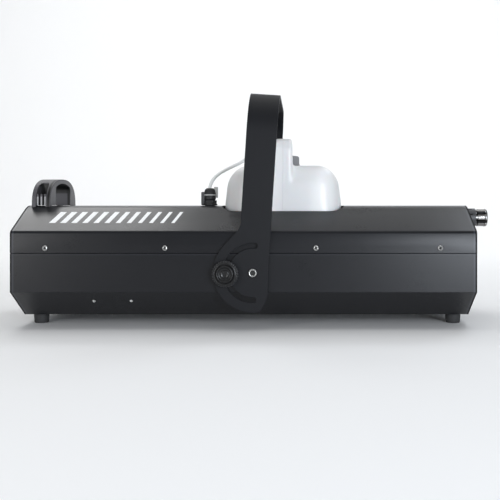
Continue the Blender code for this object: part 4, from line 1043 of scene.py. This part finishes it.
class FOG_OT_tank(bpy.types.Operator):
    """Blow the tank: a rounded body and its handle in one skin, with its neck and its cap"""
    bl_idname = "fog.tank"
    bl_label = "Fluid Tank"

    def execute(self, context):
        low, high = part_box("tank")
        shoulder = corner_low("tank_cap").z - 0.0035
        body = self.make_skin(low, high, shoulder)
        hold(body, "tank", "tank_plastic", "tank")
        self.make_cap()
        self.make_tail()
        refined("dip_tube", "tube", 0.0, 60)
        refined("intake_filter", "black", 0.0003)
        return {"FINISHED"}

    def make_skin(self, low, high, shoulder):
        bm = rounded_block(bmesh.new(), (low.x, low.y, low.z), (high.x, high.y, shoulder),
                           TANK_ROUNDING, 8)
        bmesh.ops.bisect_plane(bm, geom=[*bm.verts, *bm.edges, *bm.faces], plane_co=(0, 0, DECK_Z),
                               plane_no=(0, 0, 1))
        for vert in bm.verts:
            rise = max(0.0, vert.co.z - DECK_Z) / (shoulder - DECK_Z)
            vert.co.x = TANK.x + (vert.co.x - TANK.x) * (1 - TANK_LEAN.x * rise)
            vert.co.y *= 1 - TANK_LEAN.y * rise
        bmesh.ops.triangulate(bm, faces=bm.faces)
        body = mesh_piece("tank_skin", bm, "tank")
        front, back = low.y + 0.0015, 0.0120
        thick = TANK_HANDLE_HALF
        handle = bmesh.new()
        outline = [(front, shoulder - 0.060), (back + 0.006, shoulder - 0.030),
                   (back + 0.001, shoulder + 0.010),
                   (back - 0.008, high.z - 0.010), (back - 0.017, high.z), (front + 0.016, high.z),
                   (front + 0.005, high.z - 0.0045), (front, high.z - 0.016)]
        plate_between(handle, [(TANK.x - thick, y, z) for y, z in outline],
                      (2 * thick, 0, 0))
        for vert in handle.verts:
            if vert.co.z < shoulder:
                vert.co.x = TANK.x + (vert.co.x - TANK.x) * TANK_HANDLE_FLARE
        column = mesh_piece("tank_handle_form", handle, "tank")
        bevelled(column, 0.0026, 3, 30)
        grip_middle = ((front + back) / 2 + 0.002, shoulder + 0.0125)
        cut = bmesh.new()
        rounded_block(cut, (TANK.x - 0.03, grip_middle[0] - 0.026, grip_middle[1] - 0.013),
                      (TANK.x + 0.03, grip_middle[0] + 0.026, grip_middle[1] + 0.013), 0.0085, 5)
        hole = mesh_piece("tank_grip_form", cut, "tank")
        neck = turned("tank_neck_form", [(TANK_NECK_RADIUS, shoulder - 0.012),
                                         (TANK_NECK_RADIUS, shoulder + 0.0165),
                                         (0.002, shoulder + 0.0165)], (CAP.x, CAP.y, 0), UP, "tank")
        for tool, way in ((column, "UNION"), (hole, "DIFFERENCE"), (neck, "UNION")):
            join = body.modifiers.new(tool.name, "BOOLEAN")
            join.operation = way
            join.object = tool
            join.solver = "EXACT"
        remesh = body.modifiers.new("Skin", "REMESH")
        remesh.mode = "VOXEL"
        remesh.voxel_size = look().tank_voxel
        relax = body.modifiers.new("Relax", "SMOOTH")
        relax.factor = 0.5
        relax.iterations = 9
        graph = context_graph()
        mesh = bpy.data.meshes.new_from_object(body.evaluated_get(graph), depsgraph=graph)
        for form in (column, hole, neck, body):
            bpy.data.objects.remove(form)
        if len(mesh.polygons) < SKIN_FACES_LEAST:
            raise RuntimeError(f"the tank's skin came out with only {len(mesh.polygons)} faces")
        mesh.materials.clear()
        mesh.materials.append(finish("tank"))
        mesh.shade_smooth()
        skin = bpy.data.objects.new("tank_finished", mesh)
        bpy.context.scene.collection.objects.link(skin)
        return skin

    def make_cap(self):
        """A screw cap with close ribs, a rolled lower edge and a stepped crown."""
        low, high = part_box("tank_cap")
        wide = (high.y - low.y) / 2
        tall = high.z - low.z
        bm = bmesh.new()
        profile = rounded_profile([(0.0210, tall - 0.0040), (0.0210, 0.0), (wide, 0.0), (wide, 0.0022),
                                   (wide - 0.0007, 0.0030), (wide - 0.0009, tall - 0.0026),
                                   (wide - 0.0030, tall - 0.0004), (0.0175, tall), (0.0160, tall - 0.0008),
                                   (0.0049, tall - 0.0008), (0.0049, tall - 0.0040)], 0.0006, 2)
        lathe(bm, profile, (CAP.x, CAP.y, low.z), UP, 4 * look().cap_ribs, look().cap_ribs,
              0.0011, wide - 0.0020)
        hold(mesh_piece("tank_cap_finished", bm, "grey", sharp=45), "tank_cap", "grey_plastic", "tank_cap")

    def make_tail(self):
        """The barbed tail that the hose pushes on to, with a nut at its foot."""
        low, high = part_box("hose_tail")
        tall = high.z - low.z
        profile = [(0.0010, 0.0), (0.0045, 0.0), (0.0045, 0.0108), (0.0065, 0.0110), (0.0065, 0.0163),
                   (0.0040, 0.0168)]
        for barb in range(3):
            z = 0.0170 + barb * 0.0023
            profile += [(0.0040, z), (0.0031, z + 0.0020)]
        profile += [(0.0030, tall), (0.0012, tall)]
        tail = turned("hose_tail_finished", rounded_profile(profile, 0.0003, 2),
                      (CAP.x, CAP.y, low.z), UP, "grey", steps=36)
        hold(tail, "tank", "grey_plastic", "hose_tail")


def context_graph():
    bpy.context.view_layer.update()
    return bpy.context.evaluated_depsgraph_get()


class FOG_OT_hose(bpy.types.Operator):
    """Lead the hose from the cap to its fitting on the deck, and finish the fitting"""
    bl_idname = "fog.hose"
    bl_label = "Hose and Deck Fitting"

    def execute(self, context):
        tail_top = corner_high("hose_tail").z + 0.0006
        top = corner_high("deck_fitting").z
        route = [(CAP.x, CAP.y, tail_top), (CAP.x, CAP.y, tail_top + 0.004),
                 (CAP.x - 0.004, CAP.y - 0.002, tail_top + 0.009),
                 (CAP.x - 0.016, 0.038, tail_top + 0.0095), (0.006, 0.029, tail_top + 0.001),
                 (-0.014, 0.018, 0.2700), (-0.0317, 0.006, 0.2562), (-0.0430, -0.004, 0.2494),
                 (-0.0545, -0.015, 0.2430), (-0.0655, -0.026, 0.2356), (-0.0740, -0.035, 0.2262),
                 (FITTING.x, FITTING.y, top + 0.002), (FITTING.x, FITTING.y, top - 0.010)]
        hose = swept("hose_finished", smooth_route(route, 10), HOSE_RADIUS, "tube", 16)
        hold(hose, "tank", "clear_tube", "hose")
        self.make_fitting(top)
        return {"FINISHED"}

    def make_fitting(self, top):
        """A domed push-in collar on a flared foot, a hexagon under it, a pale ring and a tag."""
        spot = (FITTING.x, FITTING.y, 0)
        profile = [(0.0036, DECK_Z - 0.019), (0.0080, DECK_Z - 0.019), (0.0080, DECK_Z + 0.0003)]
        dome = rounded_profile([(0.0080, DECK_Z + 0.0003), (0.0120, DECK_Z + 0.0003),
                                (0.0120, DECK_Z + 0.0022), (0.0100, DECK_Z + 0.0042),
                                (0.0086, DECK_Z + 0.0056),
                                (0.0082, DECK_Z + 0.0086), (0.0095, DECK_Z + 0.0104),
                                (0.0095, top - 0.0086), (0.0082, top - 0.0026), (0.0055, top),
                                (0.0036, top), (0.0036, top - 0.004)], 0.0010, 3)
        fitting = turned("deck_fitting_finished", profile + dome[1:], spot, UP, "black", steps=48)
        hold(fitting, "chassis", "black_plastic", "deck_fitting")
        nut = bmesh.new()
        lathe(nut, [(0.0075, DECK_Z + 0.0040), (0.0108, DECK_Z + 0.0040), (0.0110, DECK_Z + 0.0046),
                    (0.0110, DECK_Z + 0.0078), (0.0106, DECK_Z + 0.0084), (0.0075, DECK_Z + 0.0084)],
              spot, UP, 6)
        hold(mesh_piece("deck_fitting_nut", nut, "black", smooth=False), "chassis", "black_plastic")
        ring = turned("deck_fitting_ring", rounded_profile(
            [(0.0085, top - 0.0118), (0.0101, top - 0.0118), (0.0101, top - 0.0100), (0.0085, top - 0.0100)],
            0.0004, 2), spot, UP, "tag", steps=48)
        hold(ring, "chassis", "grey_plastic")
        x, y = FITTING.x, FITTING.y
        for word, low, high, radius, steps, slot in (
                ("tag", (x + 0.0065, y - 0.0008, DECK_Z + 0.0125), (x + 0.0130, y + 0.0008, top + 0.0022),
                 0.0007, 2, "grey_plastic"),
                ("block", (x - 0.0137, y - 0.0050, DECK_Z + 0.0006), (x - 0.0080, y + 0.0050, top - 0.0060),
                 0.0016, 3, "black_plastic")):
            bm = rounded_block(bmesh.new(), low, high, radius, steps)
            hold(mesh_piece(f"deck_fitting_{word}", bm, word), "chassis", slot)


# ---------------------------------------------------------------- handle and nozzle

class FOG_OT_handle(bpy.types.Operator):
    """Finish the carrying handle"""
    bl_idname = "fog.handle"
    bl_label = "Carrying Handle"

    def execute(self, context):
        refined("carry_handle", "handle", 0.0011, 36, 3)
        return {"FINISHED"}


class FOG_OT_nozzle(bpy.types.Operator):
    """Turn the nozzle and its slotted guard, and finish the heater's pipe"""
    bl_idname = "fog.nozzle"
    bl_label = "Nozzle"

    def execute(self, context):
        refined("nozzle_guard", "guard", 0.0005, 34)
        low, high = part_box("nozzle")
        wide = (high.y - low.y) / 2
        start = corner_high("nozzle_guard").x - low.x + 0.0003
        length = high.x - low.x
        profile = rounded_profile([(0.0015, 0.0005), (0.0062, 0.0005), (0.0122, 0.0036), (0.0122, start),
                                   (wide - 0.0010, start), (wide - 0.0012, start + 0.0026),
                                   (wide - 0.0006, start + 0.0034), (wide - 0.0006, length - 0.0052),
                                   (wide, length - 0.0040), (wide, length - 0.0022),
                                   (wide - 0.0022, length), (0.0090, length), (0.0070, length - 0.0012),
                                   (0.0016, length - 0.0024), (0.0015, length - 0.0060)], 0.0007, 3)
        tip = turned("nozzle_finished", profile, (low.x, 0, NOZZLE.z), FORWARD, "polished",
                     steps=144, lobes=6, lobe_depth=0.0030, lobe_from=0.0126, lobe_turn=math.radians(-3))
        hold(tip, "chassis", "stainless", "nozzle")
        refined("nozzle_pipe", "zinc", 0.0, 60)
        return {"FINISHED"}


# ---------------------------------------------------------------- rear panel

class FOG_OT_panel(bpy.types.Operator):
    """Finish the rear panel's display, buttons, switch, inlet, fuse and sockets"""
    bl_idname = "fog.rear_panel"
    bl_label = "Rear Panel"

    def execute(self, context):
        refined("display_window", "lens", 0.0007, 30, 3)
        self.add_bezel()
        for number in range(1, 5):
            self.make_button(number)
        refined("rocker_housing", "black", 0.0005)
        refined("rocker", "red", 0.0006, 25, 3)
        for node, finish_name, width in (("power_inlet", "black", 0.0006), ("fuse_holder", "black", 0.0004),
                                         ("signal_in", "zinc", 0.0004), ("signal_out", "zinc", 0.0004)):
            refined(node, finish_name, width)
        self.make_fuse_cap()
        self.add_panel_screws()
        self.add_print()
        return {"FINISHED"}

    def add_bezel(self):
        """A thin raised frame round the display."""
        low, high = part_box("display_window")
        bm = bmesh.new()
        wide = BEZEL_WIDTH
        for y0, y1, z0, z1 in ((low.y - wide, high.y + wide, high.z + 0.0004, high.z + wide),
                               (low.y - wide, high.y + wide, low.z - wide, low.z - 0.0004),
                               (low.y - wide, low.y - 0.0004, low.z - 0.0006, high.z + 0.0006),
                               (high.y + 0.0004, high.y + wide, low.z - 0.0006, high.z + 0.0006)):
            rounded_block(bm, (PANEL_X - 0.0018, y0, z0), (PANEL_X - 0.0002, y1, z1), 0.0006, 2)
        hold(mesh_piece("display_bezel", bm, "black"), "chassis", "black_plastic")

    def make_button(self, number):
        """A round cap with a dished face."""
        node = f"button_{number}"
        low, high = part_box(node)
        spot = middle_of(node)
        reach = high.x - low.x
        stem = BUTTON_RADIUS
        profile = [(0.0012, 0.0), (0.0058, 0.0), (0.0058, 0.0022), (stem, 0.0022)]
        cap = rounded_profile([(stem, 0.0022), (stem, reach - 0.0006), (stem - 0.0008, reach),
                               (stem - 0.0016, reach - 0.0001), (0.0002, reach - 0.0006)], 0.0004, 3)
        piece = turned(f"{node}_finished", profile + cap[1:], (high.x, spot.y, spot.z), REARWARD,
                       "white", steps=40)
        hold(piece, node, "white_plastic", node)

    def make_fuse_cap(self):
        """A knurled cap with a screwdriver slot."""
        spot = middle_of("fuse_cap")
        back = corner_low("fuse_cap").x + 0.0090
        refined("fuse_cap", "black", 0.0003)
        ring = bmesh.new()
        lathe(ring, [(0.0074, 0.0), (0.0080, 0.0004), (0.0080, 0.0062), (0.0074, 0.0066)],
              (back, spot.y, spot.z), REARWARD, 96, 24, 0.0005, 0.0078)
        hold(mesh_piece("fuse_cap_knurl", ring, "black"), "fuse_cap", "black_plastic")

    def add_panel_screws(self):
        """Two small screws beside each socket and the inlet."""
        places = []
        for node in ("signal_in", "signal_out"):
            face, spot = corner_low(node).x, middle_of(node)
            for side in (-1, 1):
                places.append(((face, spot.y + side * 0.0095, spot.z + side * 0.0122), REARWARD))
        low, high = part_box("power_inlet")
        for y in (low.y + 0.0048, high.y - 0.0048):
            places.append(((low.x, y, middle_of("power_inlet").z), REARWARD))
        add_fasteners("panel_screws", "chassis", places, 0.0020, 0.0010)

    def add_print(self):
        """Plain rules printed under the buttons and round the sockets, with no lettering."""
        bm = bmesh.new()
        x = PANEL_X - 0.00022
        lines = []
        for number in range(1, 5):
            y = middle_of(f"button_{number}").y
            z = corner_low(f"button_{number}").z - 0.0032
            lines.append((y - 0.0050, y + 0.0050, z, z + 0.0008))
        low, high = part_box("display_window")
        lines.append((low.y - 0.0080, high.y + 0.0080, high.z + 0.0080, high.z + 0.0088))
        for node in ("signal_in", "signal_out", "power_inlet"):
            low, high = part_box(node)
            lines.append((low.y, high.y, low.z - 0.0042, low.z - 0.0034))
        for y0, y1, z0, z1 in lines:
            plate_between(bm, [(x, y0, z0), (x, y1, z0), (x, y1, z1), (x, y0, z1)], (0.00012, 0, 0))
        hold(mesh_piece("panel_rules", bm, "ink", smooth=False), "chassis", "white_plastic")


# ---------------------------------------------------------------- inside

class FOG_OT_inside(bpy.types.Operator):
    """Finish the pump, heater and electrics inside the casing"""
    bl_idname = "fog.inside"
    bl_label = "Inside"

    def execute(self, context):
        table = (
            ("pump_body", "coil", 0.0004), ("pump_bracket", "zinc", 0.0003),
            ("pump_plunger", "zinc", 0.0003),
            ("fluid_tube_in", "tube", 0.0), ("fluid_tube_out", "zinc", 0.0),
            ("heater_block", "cast", 0.0012), ("insulation_blanket", "wool", 0.0008),
            ("heater_strap_rear", "zinc", 0.0003), ("heater_strap_front", "zinc", 0.0003),
            ("thermostat", "black", 0.0004), ("control_board", "board", 0.0002),
            ("transformer", "core", 0.0006), ("heat_sink", "cast", 0.0003),
            ("terminal_block", "white", 0.0004),
        )
        for node, finish_name, width in table:
            refined(node, finish_name, width, 38 if width else 60)
        self.make_spring()
        return {"FINISHED"}

    def make_spring(self):
        """The pump's return spring, with a mesh of its own."""
        spring = refined("pump_spring", "zinc", 0.0, 60)
        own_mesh(spring)


# ---------------------------------------------------------------- studio

CAMERA_PLACE = (0.0708, -1.480, DECK_Z)
CAMERA_SHIFT = (-0.106, -0.0888)
FLOOR_FRONT = -6.0
FLOOR_BACK = 3.4
FLOOR_BEND = 1.6
FLOOR_TOP = 2.6
COOL_WHITE = (0.86, 0.92, 1.0)
PALE_SKY = (0.96, 0.98, 1.0, 1.0)


def area_light(name, place, target, size, power, color=(1, 1, 1)):
    data = bpy.data.lights.new(name, "AREA")
    data.shape = "RECTANGLE"
    data.size, data.size_y = size
    data.energy = power
    data.color = color
    light = bpy.data.objects.new(name, data)
    light.location = place
    light.visible_camera = False
    light.rotation_euler = (Vector(target) - Vector(place)).to_track_quat("-Z", "Y").to_euler()
    bpy.context.scene.collection.objects.link(light)
    return light


class FOG_OT_studio(bpy.types.Operator):
    """Set the floor, the lights and the camera"""
    bl_idname = "fog.studio"
    bl_label = "Studio"

    def execute(self, context):
        self.make_floor()
        self.make_camera(context)
        self.make_lights()
        return {"FINISHED"}

    def make_floor(self):
        """A pale sheet that lies flat under the machine and curves up far behind it."""
        half = stage_look().floor_half
        bend, back = FLOOR_BEND, FLOOR_BACK
        profile = [(FLOOR_FRONT, 0.0), (back - bend, 0.0)]
        for step in range(1, 13):
            a = math.radians(90 * step / 12)
            profile.append((back - bend + bend * math.sin(a), bend - bend * math.cos(a)))
        profile.append((back, FLOOR_TOP))
        bm = bmesh.new()
        rows = [[bm.verts.new((x, y, z)) for y, z in profile] for x in (-half, half)]
        for i in range(len(profile) - 1):
            bm.faces.new((rows[0][i], rows[1][i], rows[1][i + 1], rows[0][i + 1]))
        floor = mesh_piece("studio_floor", bm, "floor", sharp=60)

    def make_camera(self, context):
        data = bpy.data.cameras.new("studio_camera")
        data.lens = stage_look().camera_lens
        data.sensor_width = 36.0
        data.shift_x, data.shift_y = CAMERA_SHIFT
        data.clip_start, data.clip_end = 0.05, 60.0
        camera = bpy.data.objects.new("studio_camera", data)
        camera.location = CAMERA_PLACE
        camera.rotation_euler = (math.radians(90), 0, 0)
        context.scene.collection.objects.link(camera)
        context.scene.camera = camera

    def make_lights(self):
        world = bpy.context.scene.world or bpy.data.worlds.new("studio_world")
        bpy.context.scene.world = world
        world.use_nodes = True
        surround = world.node_tree.nodes["Background"]
        surround.inputs["Color"].default_value = PALE_SKY
        surround.inputs["Strength"].default_value = stage_look().surround
        area_light("overhead", (0.0, 0.2, 3.0), (0, 0, 0), (3.4, 2.6), stage_look().key_power)
        area_light("right_card", (0.98, -2.2, 0.22), (0.3, 0, 0.1), (0.8, 0.8), 44.0, COOL_WHITE)
        area_light("left_card", (-1.0, -1.6, 0.30), (-0.35, 0, 0.1), (0.25, 0.9), 8.0)
        area_light("left_rear_card", (-1.3, 2.5, 2.9), (-0.3, 0, 0.1), (1.2, 1.0), 15.0)
        area_light("right_rear_card", (1.7, 2.2, 2.7), (0.2, 0, 0.1), (1.2, 1.2), 20.0, COOL_WHITE)
        area_light("backdrop_wash", (0.0, 2.0, 2.3), (0, 3.3, 0.3), (5.0, 0.5), 22.0)
        bpy.context.scene.view_settings.view_transform = "Standard"


# ---------------------------------------------------------------- panel and run

class FOG_PT_finish(bpy.types.Panel):
    """The fog machine's settings and its making, step by step"""
    bl_label = "Fog Machine"
    bl_idname = "FOG_PT_finish"
    bl_space_type = "VIEW_3D"
    bl_region_type = "UI"
    bl_category = "Fog Machine"

    def draw(self, context):
        for group in (context.scene.fog_finish, context.scene.fog_studio):
            column = self.layout.column()
            for name in type(group).__annotations__:
                column.prop(group, name)
        for operator in OPERATORS:
            self.layout.operator(operator.bl_idname)


OPERATORS = (FOG_OT_studio, FOG_OT_casing, FOG_OT_graphic, FOG_OT_feet, FOG_OT_bracket, FOG_OT_knobs,
             FOG_OT_tank, FOG_OT_hose, FOG_OT_handle, FOG_OT_nozzle, FOG_OT_panel, FOG_OT_inside)
CLASSES = (FogFinishSettings, FogStudioSettings, *OPERATORS, FOG_PT_finish)


def register():
    for cls in CLASSES:
        bpy.utils.register_class(cls)
    bpy.types.Scene.fog_finish = bpy.props.PointerProperty(type=FogFinishSettings)
    bpy.types.Scene.fog_studio = bpy.props.PointerProperty(type=FogStudioSettings)


def unregister():
    del bpy.types.Scene.fog_studio
    del bpy.types.Scene.fog_finish
    for cls in reversed(CLASSES):
        bpy.utils.unregister_class(cls)


def main():
    register()
    for operator in OPERATORS:
        area, name = operator.bl_idname.split(".")
        getattr(getattr(bpy.ops, area), name)()


if __name__ == "__main__":
    main()
